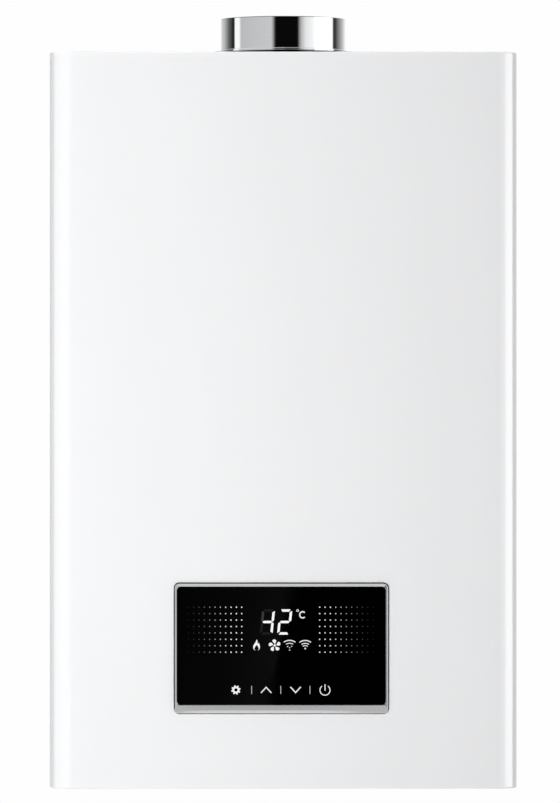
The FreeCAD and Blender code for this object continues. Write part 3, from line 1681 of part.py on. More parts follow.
def make_water_ways():
    water_fitting("cold_inlet_fitting", s.water_side)
    water_fitting("hot_outlet_fitting", -s.water_side)

    shank = s.plug_radius - s.plug_clearance
    wing = s.plug_radius + s.fitting_wall
    boss_face = water_y - s.boss_reach
    depth = s.boss_reach - s.fitting_radius
    plug = Piece("drain_plug")
    plug.turn(
        plug.on("XZ").chain(
            (0, -depth),
            (shank, -depth),
            (shank, 0),
            (wing, 0),
            (wing, s.plug_cap),
            (wing - s.plug_cap / 2, 1.5 * s.plug_cap),
            (0, 1.5 * s.plug_cap),
        )
    )
    grip = plug.on("XY", 1.5 * s.plug_cap).rectangle(mirror_pair(0.8 * wing), mirror_pair(s.plug_cap / 2))
    plug.pad(grip, 2 * s.plug_cap)
    plug.set_at((s.water_side, boss_face, floor_top + s.boss_rise), "-Y")

    turned(
        "outlet_sensor",
        [
            (0, -s.boss_reach + s.probe_setback),
            (s.probe_radius, -s.boss_reach + s.probe_setback),
            (s.probe_radius, -depth),
            (shank, -depth),
            (shank, 0),
            (wing, 0),
            (wing, s.plug_cap),
            (s.probe_radius, s.plug_cap),
            (s.probe_radius, 2 * s.plug_cap),
            (0, 2 * s.plug_cap),
        ],
        (-s.water_side, boss_face, floor_top + s.boss_rise),
        "-Y",
    )

    mesh = s.water_bore - s.plug_clearance
    turned(
        "inlet_strainer",
        [
            (mesh - s.strainer_wall, 0),
            (mesh, 0),
            (mesh, s.strainer_height),
            (0, s.strainer_height),
            (0, s.strainer_height - s.strainer_wall),
            (mesh - s.strainer_wall, s.strainer_height - s.strainer_wall),
        ],
        (s.water_side, water_y, floor_top - s.strainer_height / 2),
    )

    sensor = Piece("flow_sensor_body")
    room = s.turbine_radius + s.turbine_gap
    low = (s.sensor_height - s.turbine_room) / 2
    high = low + s.turbine_room
    sensor.turn(
        sensor.on("XZ").chain(
            (s.water_bore, 0),
            (s.sensor_radius, 0),
            (s.sensor_radius, s.sensor_height),
            (s.water_bore, s.sensor_height),
            (s.water_bore, high),
            (room, high),
            (room, low),
            (s.water_bore, low),
        )
    )
    pick_up = sensor.on("XZ", -s.sensor_radius + s.fitting_wall).rounded(
        mirror_pair(s.pick_up_width / 2), (low, high), s.fitting_wall / 2
    )
    sensor.pad(pick_up, s.pick_up_depth)
    for level in (low - s.spider_height, high):
        arm = sensor.on("XY", level)
        arm.rectangle(mirror_pair(s.water_bore + s.fitting_wall / 2), mirror_pair(s.spider_width / 2))
        sensor.pad(arm, s.spider_height)
    axle_hole = sensor.on("XY", s.sensor_height / 2).circle(0, 0, s.axle_radius + s.axle_grip)
    sensor.pocket(axle_hole, both=True)
    sensor.set_at((s.water_side, water_y, sensor_low))

    axle_low = low - s.spider_height
    axle_high = high + s.spider_height
    turned(
        "turbine_axle",
        [(0, axle_low), (s.axle_radius, axle_low), (s.axle_radius, axle_high), (0, axle_high)],
        (s.water_side, water_y, sensor_low),
    )

    turbine = Piece("flow_turbine")
    hub = s.turbine_hub
    turbine.turn(
        turbine.on("XZ").rectangle((s.axle_radius + s.axle_clearance, hub), (0, s.turbine_height))
    )
    twist = math.radians(38)
    sections = []
    for level, angle in ((0, 0.0), (s.turbine_height, twist)):
        c, w = math.cos(angle), math.sin(angle)
        corners = [(0.8 * hub, -s.turbine_blade / 2), (s.turbine_radius, -s.turbine_blade / 2),
                   (s.turbine_radius, s.turbine_blade / 2), (0.8 * hub, s.turbine_blade / 2)]
        sections.append(
            turbine.on("XY", level).chain(*[(x * c - y * w, x * w + y * c) for x, y in corners])
        )
    blade = turbine.add("AdditiveLoft")
    blade.Profile = sections[0].item
    blade.Sections = [sections[1].item]
    doc.recompute()
    turbine.ring([blade], "Z", s.turbine_blades)
    turbine.set_at((s.water_side, water_y, sensor_low + s.sensor_height / 2 - s.turbine_height / 2))

    jog = s.pipe_jog
    cold_turn = sensor_top + s.pipe_rise
    bent_tube(
        "cold_pipe",
        [
            (s.water_side, water_y, sensor_top),
            (s.water_side, water_y, cold_turn),
            (riser_x, riser_y, cold_turn + jog),
            (riser_x, riser_y, union_z),
        ],
        s.pipe_bend,
        s.pipe_radius,
        s.pipe_wall,
    )
    hot_turn = sensor_top + s.pipe_rise
    bent_tube(
        "hot_pipe",
        [
            (-tube_end, tube_places[4], tube_z),
            (-riser_x, tube_places[4], tube_z),
            (-riser_x, tube_places[4], hot_turn + jog),
            (-s.water_side, water_y, hot_turn),
            (-s.water_side, water_y, sensor_low),
        ],
        s.coil_bend,
        s.pipe_radius,
        s.pipe_wall,
    )
    nuts = []
    spots = (
        (s.water_side, water_y, sensor_top),
        (-s.water_side, water_y, sensor_low),
        (riser_x, riser_y, union_z - s.nut_height / 2),
    )
    for i, spot in enumerate(spots):
        hexagon = doc.addObject("Part::Prism", f"pipe_nut_hex{i}")
        hexagon.Polygon = 6
        bind(hexagon, "Circumradius", s.nut_across / math.sqrt(3))
        bind(hexagon, "Height", s.nut_height)
        place(hexagon, spot)
        hole = rod(f"pipe_nut_hole{i}", s.pipe_radius + s.tube_gap, s.nut_height, spot)
        nuts.append(cut(f"pipe_nut{i}", hexagon, hole))
    keep("pipe_nuts", group("pipe_nuts", *nuts))


def make_electrics():
    wall = s.tray_wall
    tray_x = (-s.tray_right - s.tray_width, -s.tray_right)
    tray_y = (-s.tray_front, -s.tray_front + s.tray_depth)
    tray_z = (floor_top, floor_top + s.tray_height)
    tray = Piece("control_tray")
    tray.pad(tray.on("XZ", tray_y[1]).rounded(tray_x, tray_z, s.tray_corner), s.tray_depth)
    tray.hollow(wall, lambda f: facing(f, "-Y", tray_y[0]))

    lid = Piece("control_lid")
    lid.pad(lid.on("XZ", tray_y[0]).rounded(tray_x, tray_z, s.tray_corner), s.lid_thickness)
    vent_x = (tray_x[0] + s.lid_margin, tray_x[0] + s.lid_margin + s.lid_vent_length)
    vent_z = (tray_z[0] + s.lid_margin, tray_z[0] + s.lid_margin + s.vent_width)
    first = lid.pocket(lid.on("XZ", tray_y[0]).rounded(vent_x, vent_z, 0.45 * s.vent_width), both=True)
    lid.row([first], "Z", 2.5 * s.vent_width, s.lid_vent_count)

    plug = Piece("display_plug")
    plug_x_span = (plug_x - s.plug_width / 2, plug_x + s.plug_width / 2)
    plug_z_span = (panel_z - s.plug_height / 2, panel_z + s.plug_height / 2)
    plug.pad(plug.on("XZ", tray_face).rectangle(plug_x_span, plug_z_span), s.plug_reach)
    plug.bevel(s.plug_bevel, lambda e: near(e.BoundBox.YMin, plug_tip) and near(e.BoundBox.YMax, plug_tip))

    inset = s.tray_corner
    sheet_back = tray_y[1] - wall - s.board_lift
    board = block(
        "control_board_sheet",
        (tray_x[0] + inset, tray_x[1] - inset),
        (sheet_back - s.board_thickness, sheet_back),
        (tray_z[0] + inset, tray_z[1] - inset),
    )
    face = sheet_back - s.board_thickness
    middle_x = (tray_x[0] + tray_x[1]) / 2
    middle_z = (tray_z[0] + tray_z[1]) / 2
    unit = s.part_unit
    blocks = [
        block("control_board_transformer", (middle_x - 3 * unit, middle_x), (face - 1.5 * unit, face),
              (middle_z - 4 * unit, middle_z - unit)),
        block("control_board_driver", (middle_x + unit, middle_x + 3.5 * unit), (face - s.chip_height, face),
              (middle_z, middle_z + 2.5 * unit)),
        block("control_board_header", (middle_x - 3 * unit, middle_x + 2 * unit), (face - unit, face),
              (middle_z + 4 * unit, middle_z + 4.8 * unit)),
    ]
    for i in range(3):
        x = middle_x - 3.4 * unit + i * 1.6 * unit
        blocks.append(block(f"control_board_relay{i}", (x, x + 1.3 * unit), (face - 1.4 * unit, face),
                            (middle_z + 0.8 * unit, middle_z + 2.6 * unit)))
    for i in range(3):
        at = (middle_x + 1.6 * unit, face, middle_z - (1 + 1.4 * i) * unit)
        blocks.append(rod(f"control_board_capacitor{i}", 0.55 * unit, 1.6 * unit, at, "-Y"))
    for i, x in enumerate((tray_x[0] + unit, tray_x[1] - unit)):
        for j, z in enumerate((tray_z[0] + unit, tray_z[1] - unit)):
            blocks.append(rod(f"control_board_post{i}{j}", s.post_radius, s.board_lift, (x, sheet_back, z), "Y"))
    keep("control_board", fuse("control_board", board, *blocks))

    generator = Piece("spark_generator")
    generator.pad(generator.on("XY", floor_top).rounded(generator_x, generator_y, s.valve_corner),
                  s.generator_height)
    generator.round(s.generator_edge, lambda e: near(e.CenterOfMass.z, generator_top)
                    and near(e.BoundBox.ZLength, 0))
    towers = generator.on("XY", generator_top)
    for x in tower_spots:
        towers.circle(x, tower_y, s.tower_radius)
    generator.pad(towers, s.tower_height)
    sockets = generator.on("XY", generator_top + s.tower_height)
    for x in tower_spots:
        sockets.circle(x, tower_y, s.tower_bore)
    generator.pocket(sockets, s.tower_height)

    turned(
        "cord_gland",
        [
            (s.gland_bore, -s.chassis_sheet - s.gland_nut),
            (s.gland_radius, -s.chassis_sheet - s.gland_nut),
            (s.gland_radius, -s.chassis_sheet),
            (s.gland_thread, -s.chassis_sheet),
            (s.gland_thread, 0),
            (s.gland_radius, 0),
            (s.gland_radius, s.gland_nut / 2),
            (s.gland_thread, s.gland_nut / 2),
            (s.gland_thread, s.gland_nut),
            (s.gland_bore, s.gland_nut),
        ],
        (s.gland_right, gland_y, floor_top),
    )

make_front_cover()
make_back_plate()
make_top_plate()
make_bottom_plate()
make_flue_collar()
make_casing_screws()
make_control_panel()
make_fan()
make_flue_hood()
make_pressure_switch()
make_heat_exchanger()
make_burner()
electrode("spark_electrodes", -s.spark_spacing / 2, s.spark_reach, 2)
electrode("flame_rod", s.flame_rod_right, s.flame_rod_reach, 1)
make_gas_train()
make_water_ways()
make_electrics()

doc.recompute()
os.makedirs("parts", exist_ok=True)
for label, item in NODES.items():
    shape = item.Shape
    if "Invalid" in item.State or "Error" in item.State:
        raise RuntimeError(label + " was not built")
    if shape.isNull() or not shape.isValid():
        raise RuntimeError(label + " has no valid shape")
    print(label, len(shape.Solids), round(shape.Volume), shape.BoundBox)
    shape.exportStep(f"parts/{label}.step")
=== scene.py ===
"""Looks of a wall-hung gas water heater: finishes, lit display, screws, threads and studio."""

import json
import math

import bmesh
import bpy
from bpy.props import FloatProperty, FloatVectorProperty, IntProperty, PointerProperty
from mathutils import Matrix, Vector


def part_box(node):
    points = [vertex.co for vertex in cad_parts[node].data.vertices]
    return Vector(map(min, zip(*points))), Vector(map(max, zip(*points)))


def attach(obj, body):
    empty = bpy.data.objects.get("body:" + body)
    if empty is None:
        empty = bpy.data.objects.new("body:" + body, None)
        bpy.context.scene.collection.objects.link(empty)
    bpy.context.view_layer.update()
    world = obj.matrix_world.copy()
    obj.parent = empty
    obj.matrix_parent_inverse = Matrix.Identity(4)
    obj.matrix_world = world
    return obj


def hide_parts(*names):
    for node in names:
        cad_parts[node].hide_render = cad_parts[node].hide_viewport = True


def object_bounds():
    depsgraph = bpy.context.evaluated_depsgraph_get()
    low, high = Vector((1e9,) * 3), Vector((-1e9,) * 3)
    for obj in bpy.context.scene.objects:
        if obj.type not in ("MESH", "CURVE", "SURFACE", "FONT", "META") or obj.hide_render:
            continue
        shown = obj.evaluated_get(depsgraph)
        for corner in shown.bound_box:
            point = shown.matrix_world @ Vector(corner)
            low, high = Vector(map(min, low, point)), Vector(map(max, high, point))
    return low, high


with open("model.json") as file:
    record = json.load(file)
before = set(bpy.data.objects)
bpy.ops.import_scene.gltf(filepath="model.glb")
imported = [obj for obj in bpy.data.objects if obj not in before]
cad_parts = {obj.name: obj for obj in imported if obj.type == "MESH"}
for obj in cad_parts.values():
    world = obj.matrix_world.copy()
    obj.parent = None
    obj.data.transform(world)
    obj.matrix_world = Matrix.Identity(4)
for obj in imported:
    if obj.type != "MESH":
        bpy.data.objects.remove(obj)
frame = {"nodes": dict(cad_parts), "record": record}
CAD_BOX = [list(corner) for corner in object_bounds()]
FRONT = CAD_BOX[0][1]

bl_info = {
    "name": "Gas water heater looks",
    "version": (1, 0, 0),
    "blender": (4, 5, 0),
    "location": "View3D > Sidebar > Heater",
    "description": "Dresses the frame of a wall-hung gas water heater",
    "category": "Object",
}

MM = 0.001
GLASS_LOW, GLASS_HIGH = (Vector(corner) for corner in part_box("display_glass"))
GLASS_MIDDLE = (GLASS_LOW + GLASS_HIGH) / 2
MOUNTS = {mount["name"]: mount for mount in frame["record"]["mounts"]}
COVER = "cover"
CHASSIS = "chassis"

# Shared shader groups, and the sockets of a colour Mix node
GRAIN, BLOTCH, SPANGLE, RUB_AND_GLINT = "Heater Grain", "Heater Blotch", "Heater Spangle", "Heater Edge Rub And Glint"
MIX_SHARE, MIX_FIRST, MIX_SECOND, MIX_RESULT = 0, 6, 7, 2


def colour(name, words, default):
    return FloatVectorProperty(name=name, description=words, subtype="COLOR", size=3, min=0, max=1, default=default)


def length(name, words, default):
    return FloatProperty(name=name, description=words, subtype="DISTANCE", unit="LENGTH", default=default)


def angle(name, words, degrees):
    default = math.radians(degrees)
    return FloatProperty(name=name, description=words, subtype="ANGLE", unit="ROTATION", default=default)


def power(name, words, default):
    return FloatProperty(name=name, description=words, subtype="POWER", unit="POWER", min=0, default=default)


def level(name, words, default):
    return FloatProperty(name=name, description=words, min=0, default=default)


# Settings a user would change
class HeaterFinishes(bpy.types.PropertyGroup):
    enamel: colour("Enamel", "Stove enamel of the front cover", (0.872, 0.876, 0.886))
    polish: colour("Polished steel", "Flue collar and its flange", (0.80, 0.81, 0.82))
    trim: colour("Silver trim", "Frame round the display", (0.60, 0.605, 0.61))
    glass: colour("Black glass", "Back-printed display glass", (0.0001, 0.0001, 0.0001))
    light: colour("Display light", "Lit digits and signs", (1.0, 1.0, 1.0))
    zinc: colour("Zinc sheet", "Galvanised chassis sheet", (0.60, 0.615, 0.63))
    plating: colour("Plated steel", "Screws and small turned steel", (0.55, 0.55, 0.53))
    copper: colour("Copper", "Chamber, fins and water tube", (0.74, 0.40, 0.27))
    brass: colour("Brass", "Fittings, nuts and nozzles", (0.72, 0.56, 0.30))
    cast: colour("Cast aluminium", "Gas valve, manifold and gas pipe", (0.58, 0.59, 0.60))
    black: colour("Black plastic", "Housings, coils and plugs", (0.022, 0.022, 0.024))
    grey: colour("Grey plastic", "Flow sensor, switch and tray", (0.46, 0.47, 0.48))
    board: colour("Circuit board", "Lacquer of the boards", (0.018, 0.11, 0.045))


class HeaterDisplay(bpy.types.PropertyGroup):
    digit_width: length("Digit width", "Between the middles of the upright strokes", 8.25 * MM)
    digit_height: length("Digit height", "Between the middles of the top and foot strokes", 18.1 * MM)
    digit_pitch: length("Digit pitch", "From one digit to the next", 13.65 * MM)
    stroke: length("Stroke", "Thickness of a digit's stroke", 1.85 * MM)
    slant: angle("Slant", "Lean of the digits", 5.8)
    key_stroke: length("Key stroke", "Line thickness of the touch keys", 0.86 * MM)
    dot_radius: length("Dot radius", "Lit dots beside the digits", 0.49 * MM)
    dot_pitch: length("Dot pitch", "Between the columns of dots", 4.21 * MM)
    dot_rise: length("Row pitch", "Between the rows of dots", 5.07 * MM)
    dot_columns: IntProperty(name="Dot columns", description="Columns on each side", default=11, min=1)
    dot_rows: IntProperty(name="Dot rows", description="Rows on each side", default=8, min=1)
    print_lift: length("Print lift", "How far a sign stands off the glass", 0.03 * MM)
    print_depth: length("Print depth", "Thickness of a sign", 0.06 * MM)
    lip_height: length("Chin lip", "How far the lip stands off the frame's chin", 0.62 * MM)


class HeaterStage(bpy.types.PropertyGroup):
    camera_distance: length("Camera distance", "From the wall to the camera", 5.12)
    camera_rise: length("Camera rise", "Above the middle of the casing", 14.7 * MM)
    camera_side: length("Camera side", "To the left of the middle of the casing", 2.6 * MM)
    lens: FloatProperty(name="Lens", description="Focal length", subtype="DISTANCE_CAMERA", default=281.0)
    floor_drop: length("Floor drop", "From the middle of the casing to the floor", 1.4)
    backdrop: level("Backdrop", "Level of the background to the camera", 0.992)
    ambient: level("Ambient", "Even light from all round", 0.181)
    key_power: power("Key lamp", "Soft lamp left of the camera", 12.55)
    side_power: power("Side lamp", "Soft lamp on the right", 6.35)
    left_power: power("Left lamp", "Lamp beside the casing", 1.2)
    right_power: power("Right lamp", "Lamp beside the casing", 3.0)
    top_power: power("Top lamp", "Soft lamp overhead", 18.0)
    back_power: power("Back lamp", "Soft lamp behind", 45.0)


class HeaterSettings(bpy.types.PropertyGroup):
    finishes: PointerProperty(type=HeaterFinishes)
    display: PointerProperty(type=HeaterDisplay)
    stage: PointerProperty(type=HeaterStage)


# Shared shader groups
def new_group(name, inputs):
    """A shader group with float or vector inputs and one Mask output."""
    tree = bpy.data.node_groups.new(name, "ShaderNodeTree")
    for socket, default in inputs.items():
        kind = "NodeSocketFloat" if isinstance(default, float) else "NodeSocketVector"
        tree.interface.new_socket(socket, in_out="INPUT", socket_type=kind).default_value = default
    tree.interface.new_socket("Mask", in_out="OUTPUT", socket_type="NodeSocketFloat")
    return tree, tree.nodes.new("NodeGroupInput"), tree.nodes.new("NodeGroupOutput")


def object_place(tree):
    return tree.nodes.new("ShaderNodeTexCoord").outputs["Object"]


def stretched_place(tree, stretch):
    """Object coordinates times a stretch, so grain runs along one way."""
    scaled = tree.nodes.new("ShaderNodeVectorMath")
    scaled.operation = "MULTIPLY"
    tree.links.new(object_place(tree), scaled.inputs[0])
    tree.links.new(stretch, scaled.inputs[1])
    return scaled.outputs[0]


def parts_of(tree, vector):
    """The X, Y and Z of a vector socket."""
    node = tree.nodes.new("ShaderNodeSeparateXYZ")
    tree.links.new(vector, node.inputs[0])
    return node.outputs


def mix_colours(tree, share, first, second):
    """Two colours, each a tuple or a socket, mixed by a mask."""
    node = tree.nodes.new("ShaderNodeMix")
    node.data_type = "RGBA"
    tree.links.new(share, node.inputs[MIX_SHARE])
    for socket, tone in ((node.inputs[MIX_FIRST], first), (node.inputs[MIX_SECOND], second)):
        if isinstance(tone, tuple):
            socket.default_value = (*tone, 1)
        else:
            tree.links.new(tone, socket)
    return node.outputs[MIX_RESULT]


def neutral(bright):
    return (bright, bright, bright)


def shaded(tone, factor):
    return tuple(min(1.0, part * factor) for part in tone)


def math_node(tree, operation, first, second=0.0):
    """A Math node on numbers or sockets."""
    node = tree.nodes.new("ShaderNodeMath")
    node.operation = operation
    for socket, value in zip(node.inputs, (first, second)):
        if isinstance(value, (int, float)):
            socket.default_value = value
        else:
            tree.links.new(value, socket)
    return node.outputs[0]


def map_range(tree, value, low, high, to_low=0.0, to_high=1.0):
    """A smooth step of a socket between two thresholds."""
    node = tree.nodes.new("ShaderNodeMapRange")
    node.interpolation_type = "SMOOTHSTEP"
    tree.links.new(value, node.inputs["Value"])
    for socket, number in zip(("From Min", "From Max", "To Min", "To Max"), (low, high, to_low, to_high)):
        if isinstance(number, float):
            node.inputs[socket].default_value = number
        else:
            tree.links.new(number, node.inputs[socket])
    return node.outputs["Result"]


def noise(tree, place, scale, detail=4.0):
    node = tree.nodes.new("ShaderNodeTexNoise")
    node.inputs["Detail"].default_value = detail
    tree.links.new(place, node.inputs["Vector"])
    tree.links.new(scale, node.inputs["Scale"])
    return node.outputs["Fac"]


def grain_group():
    """Fine noise, stretched for brushed or drawn metal."""
    tree, given, result = new_group(GRAIN, {"Scale": 800.0, "Stretch": (1.0, 1.0, 1.0)})
    place = stretched_place(tree, given.outputs["Stretch"])
    tree.links.new(noise(tree, place, given.outputs["Scale"]), result.inputs["Mask"])
    return tree


def blotch_group():
    """Broad soft patches between two thresholds, for tarnish and uneven lacquer."""
    sockets = {"Scale": 20.0, "Low": 0.4, "High": 0.65, "Stretch": (1.0, 1.0, 1.0)}
    tree, given, result = new_group(BLOTCH, sockets)
    place = stretched_place(tree, given.outputs["Stretch"])
    fine = noise(tree, place, given.outputs["Scale"], detail=6.0)
    mask = map_range(tree, fine, given.outputs["Low"], given.outputs["High"])
    tree.links.new(mask, result.inputs["Mask"])
    return tree


def spangle_group():
    """Crystal flakes of hot-dip zinc."""
    tree, given, result = new_group(SPANGLE, {"Scale": 90.0, "Stretch": (1.0, 1.0, 1.0)})
    cells = tree.nodes.new("ShaderNodeTexVoronoi")
    tree.links.new(stretched_place(tree, given.outputs["Stretch"]), cells.inputs["Vector"])
    tree.links.new(given.outputs["Scale"], cells.inputs["Scale"])
    shade = tree.nodes.new("ShaderNodeRGBToBW")
    tree.links.new(cells.outputs["Color"], shade.inputs[0])
    tree.links.new(shade.outputs[0], result.inputs["Mask"])
    return tree


def rub_and_glint_group():
    """Edges for wear where handling has rubbed a finish and for a painted glint, broken up by noise."""
    tree, given, result = new_group(RUB_AND_GLINT, {"Width": 0.6 * MM, "Gain": 3.0, "Scale": 300.0})
    worn = tree.nodes.new("ShaderNodeBevel")
    worn.samples = 4
    tree.links.new(given.outputs["Width"], worn.inputs["Radius"])
    face = tree.nodes.new("ShaderNodeNewGeometry")
    turn = tree.nodes.new("ShaderNodeVectorMath")
    turn.operation = "DOT_PRODUCT"
    tree.links.new(worn.outputs["Normal"], turn.inputs[0])
    tree.links.new(face.outputs["Normal"], turn.inputs[1])
    bend = math_node(tree, "SUBTRACT", 1.0, turn.outputs["Value"])
    strong = math_node(tree, "MULTIPLY", bend, given.outputs["Gain"])
    broken = noise(tree, object_place(tree), given.outputs["Scale"])
    mask = math_node(tree, "MULTIPLY", strong, map_range(tree, broken, 0.35, 0.6))
    tree.links.new(math_node(tree, "MINIMUM", mask, 1.0), result.inputs["Mask"])
    return tree


GROUPS = {GRAIN: grain_group, BLOTCH: blotch_group, SPANGLE: spangle_group, RUB_AND_GLINT: rub_and_glint_group}


class Finish:
    """A material: one Principled shader, with masks from the shared groups."""

    def __init__(self, name, base, roughness, metallic=0.0, **constants):
        self.material = bpy.data.materials.new(name)
        self.material.use_nodes = True
        self.tree = self.material.node_tree
        self.shader = self.tree.nodes["Principled BSDF"]
        self.base = tuple(base)
        self.set("Base Color", (*self.base, 1))
        self.set("Roughness", roughness)
        self.set("Metallic", metallic)
        for socket, value in constants.items():
            self.set(socket.replace("_", " ").title().replace("Ior", "IOR"), value)
        self.painted = self.base

    def set(self, socket, value):
        self.shader.inputs[socket].default_value = value

    def mask(self, group, **values):
        node = self.tree.nodes.new("ShaderNodeGroup")
        node.node_tree = bpy.data.node_groups.get(group) or GROUPS[group]()
        for socket, value in values.items():
            node.inputs[socket.title()].default_value = value
        return node.outputs["Mask"]

    def tint(self, mask, other, amount=1.0):
        """Lay another colour over the base where the mask is high."""
        share = map_range(self.tree, mask, 0.0, 1.0, 0.0, amount)
        self.painted = mix_colours(self.tree, share, self.painted, other)
        self.tree.links.new(self.painted, self.shader.inputs["Base Color"])
        return self

    def rough(self, mask, low, high):
        self.tree.links.new(map_range(self.tree, mask, 0.3, 0.7, low, high), self.shader.inputs["Roughness"])
        return self

    def bump(self, mask, strength, depth):
        node = self.tree.nodes.new("ShaderNodeBump")
        node.inputs["Strength"].default_value = strength
        node.inputs["Distance"].default_value = depth
        self.tree.links.new(mask, node.inputs["Height"])
        self.tree.links.new(node.outputs["Normal"], self.shader.inputs["Normal"])
        return self

    def light(self, tone, strength=1.0):
        """Let a socket's colour shine."""
        self.tree.links.new(tone, self.shader.inputs["Emission Color"])
        self.set("Emission Strength", strength)
        return self

    def stored_colour(self, layer):
        """The colours stored on the mesh under a name."""
        node = self.tree.nodes.new("ShaderNodeVertexColor")
        node.layer_name = layer
        return node.outputs["Color"]


# Finishes
def enamel_finish(base):
    finish = Finish("white_enamel", base, 0.35, coat_weight=1.0, coat_roughness=0.05, coat_ior=1.6, ior=1.45)
    finish.tint(finish.mask(BLOTCH, scale=9.0, low=0.35, high=0.7), shaded(base, 0.994))
    peel = finish.mask(GRAIN, scale=420.0)
    finish.rough(peel, 0.31, 0.39)
    return finish.bump(peel, strength=0.02, depth=0.01 * MM).material


def polish_finish(name, base, low, high, dark):
    """Mirror polish with fine drawn lines, and a painted dark line round it between two heights, standing in for
    shade and dark reflection.
    """
    finish = Finish(name, base, 0.05, metallic=1.0)
    lines = finish.mask(GRAIN, scale=900.0, stretch=(0.03, 0.03, 1.0))
    finish.tint(lines, shaded(base, 0.93), amount=0.5)
    height = parts_of(finish.tree, object_place(finish.tree))["Z"]
    edge = 0.1 * MM
    above = map_range(finish.tree, height, low, low + edge)
    below = map_range(finish.tree, height, high - edge, high, 1.0, 0.0)
    # Painted dark line between the two heights.
    finish.tint(math_node(finish.tree, "MULTIPLY", above, below), shaded(base, dark))
    finish.rough(lines, 0.035, 0.075)
    return finish.bump(lines, strength=0.04, depth=0.01 * MM).material


def trim_finish(name, base, shade_flanks):
    """Silver lacquer, with the flanks of a frame painted near-black as painted shade, a dark outline where the
    frame meets the cover.
    """
    finish = Finish(name, base, 0.22, metallic=0.92)
    flakes = finish.mask(SPANGLE, scale=2600.0)
    finish.tint(flakes, shaded(base, 1.12), amount=0.6)
    if shade_flanks:
        face = finish.tree.nodes.new("ShaderNodeNewGeometry")
        flank_shade = map_range(finish.tree, parts_of(finish.tree, face.outputs["Normal"])["Y"], -0.90, -0.80)
        # Painted shade: faces turned away from the front go near-black, a dark outline round the frame.
        finish.tint(flank_shade, (0.025, 0.025, 0.027))
    finish.rough(finish.mask(GRAIN, scale=700.0), 0.11, 0.18)
    return finish.bump(flakes, strength=0.03, depth=0.01 * MM).material


def glass_finish(base):
    finish = Finish("black_glass", base, 0.03, ior=1.5)
    film = finish.mask(BLOTCH, scale=14.0, low=0.3, high=0.75)
    finish.tint(film, shaded(base, 1.5), amount=0.6)
    return finish.rough(film, 0.025, 0.05).material


def zinc_finish(base):
    finish = Finish("galvanised_sheet", base, 0.42, metallic=1.0)
    flakes = finish.mask(SPANGLE, scale=170.0)
    finish.tint(flakes, shaded(base, 0.85), amount=0.7)
    # Paler edges: rubbed wear and a painted glint.
    finish.tint(finish.mask(RUB_AND_GLINT), shaded(base, 1.25), amount=0.6)
    finish.rough(flakes, 0.34, 0.52)
    return finish.bump(finish.mask(GRAIN, scale=240.0), strength=0.05, depth=0.05 * MM).material


def plated_finish(base):
    finish = Finish("fastener_steel", base, 0.30, metallic=1.0)
    film = finish.mask(BLOTCH, scale=160.0)
    finish.tint(film, (0.50, 0.46, 0.36), amount=0.5)
    # Paler edges: rubbed wear and a painted glint.
    finish.tint(finish.mask(RUB_AND_GLINT, width=0.3 * MM), shaded(base, 1.3), amount=0.7)
    return finish.rough(film, 0.24, 0.38).material


def burner_finish(base):
    finish = Finish("burner_steel", shaded(base, 0.85), 0.38, metallic=1.0)
    heat = finish.mask(BLOTCH, scale=26.0, stretch=(1.0, 0.4, 1.6))
    finish.tint(heat, (0.42, 0.30, 0.17), amount=0.6)
    finish.tint(finish.mask(BLOTCH, scale=70.0, low=0.55, high=0.7), (0.20, 0.20, 0.30), amount=0.5)
    return finish.rough(heat, 0.32, 0.48).material


def motor_finish():
    base = (0.02, 0.02, 0.022)
    finish = Finish("motor_enamel", base, 0.36, coat_weight=0.25, coat_roughness=0.2)
    speck = finish.mask(GRAIN, scale=900.0)
    # Paler edges: rubbed wear and a painted glint.
    finish.tint(finish.mask(RUB_AND_GLINT, width=0.8 * MM), (0.09, 0.09, 0.09), amount=0.7)
    finish.rough(speck, 0.30, 0.44)
    return finish.bump(speck, strength=0.12, depth=0.03 * MM).material


def copper_finish(base):
    finish = Finish("copper", base, 0.30, metallic=1.0)
    tarnish = finish.mask(BLOTCH, scale=16.0)
    finish.tint(tarnish, (0.42, 0.20, 0.12), amount=0.55)
    finish.tint(finish.mask(BLOTCH, scale=60.0, low=0.56, high=0.72), (0.30, 0.22, 0.20), amount=0.4)
    # Paler edges: rubbed wear and a painted glint.
    finish.tint(finish.mask(RUB_AND_GLINT), shaded(base, 1.2), amount=0.5)
    return finish.rough(tarnish, 0.24, 0.42).material


def brass_finish(base):
    finish = Finish("brass", base, 0.28, metallic=1.0)
    turning = finish.mask(GRAIN, scale=700.0, stretch=(0.1, 0.1, 1.0))
    finish.tint(finish.mask(BLOTCH, scale=50.0), (0.45, 0.33, 0.16), amount=0.4)
    # Paler edges: rubbed wear and a painted glint.
    finish.tint(finish.mask(RUB_AND_GLINT, width=0.5 * MM), shaded(base, 1.25), amount=0.7)
    finish.rough(turning, 0.22, 0.36)
    return finish.bump(turning, strength=0.08, depth=0.02 * MM).material


def cast_finish(base):
    finish = Finish("cast_aluminium", base, 0.5, metallic=1.0)
    sand = finish.mask(GRAIN, scale=650.0)
    finish.tint(finish.mask(BLOTCH, scale=40.0), shaded(base, 0.8), amount=0.6)
    # Paler edges: rubbed wear and a painted glint.
    finish.tint(finish.mask(RUB_AND_GLINT, width=0.8 * MM), shaded(base, 1.3), amount=0.6)
    finish.rough(sand, 0.42, 0.6)
    return finish.bump(sand, strength=0.3, depth=0.08 * MM).material


def rubber_finish():
    base = (0.018, 0.018, 0.019)
    finish = Finish("black_rubber", base, 0.75)
    bloom = finish.mask(BLOTCH, scale=45.0)
    finish.tint(bloom, (0.045, 0.045, 0.046), amount=0.7)
    finish.rough(bloom, 0.65, 0.85)
    return finish.bump(finish.mask(GRAIN, scale=1200.0), strength=0.15, depth=0.03 * MM).material


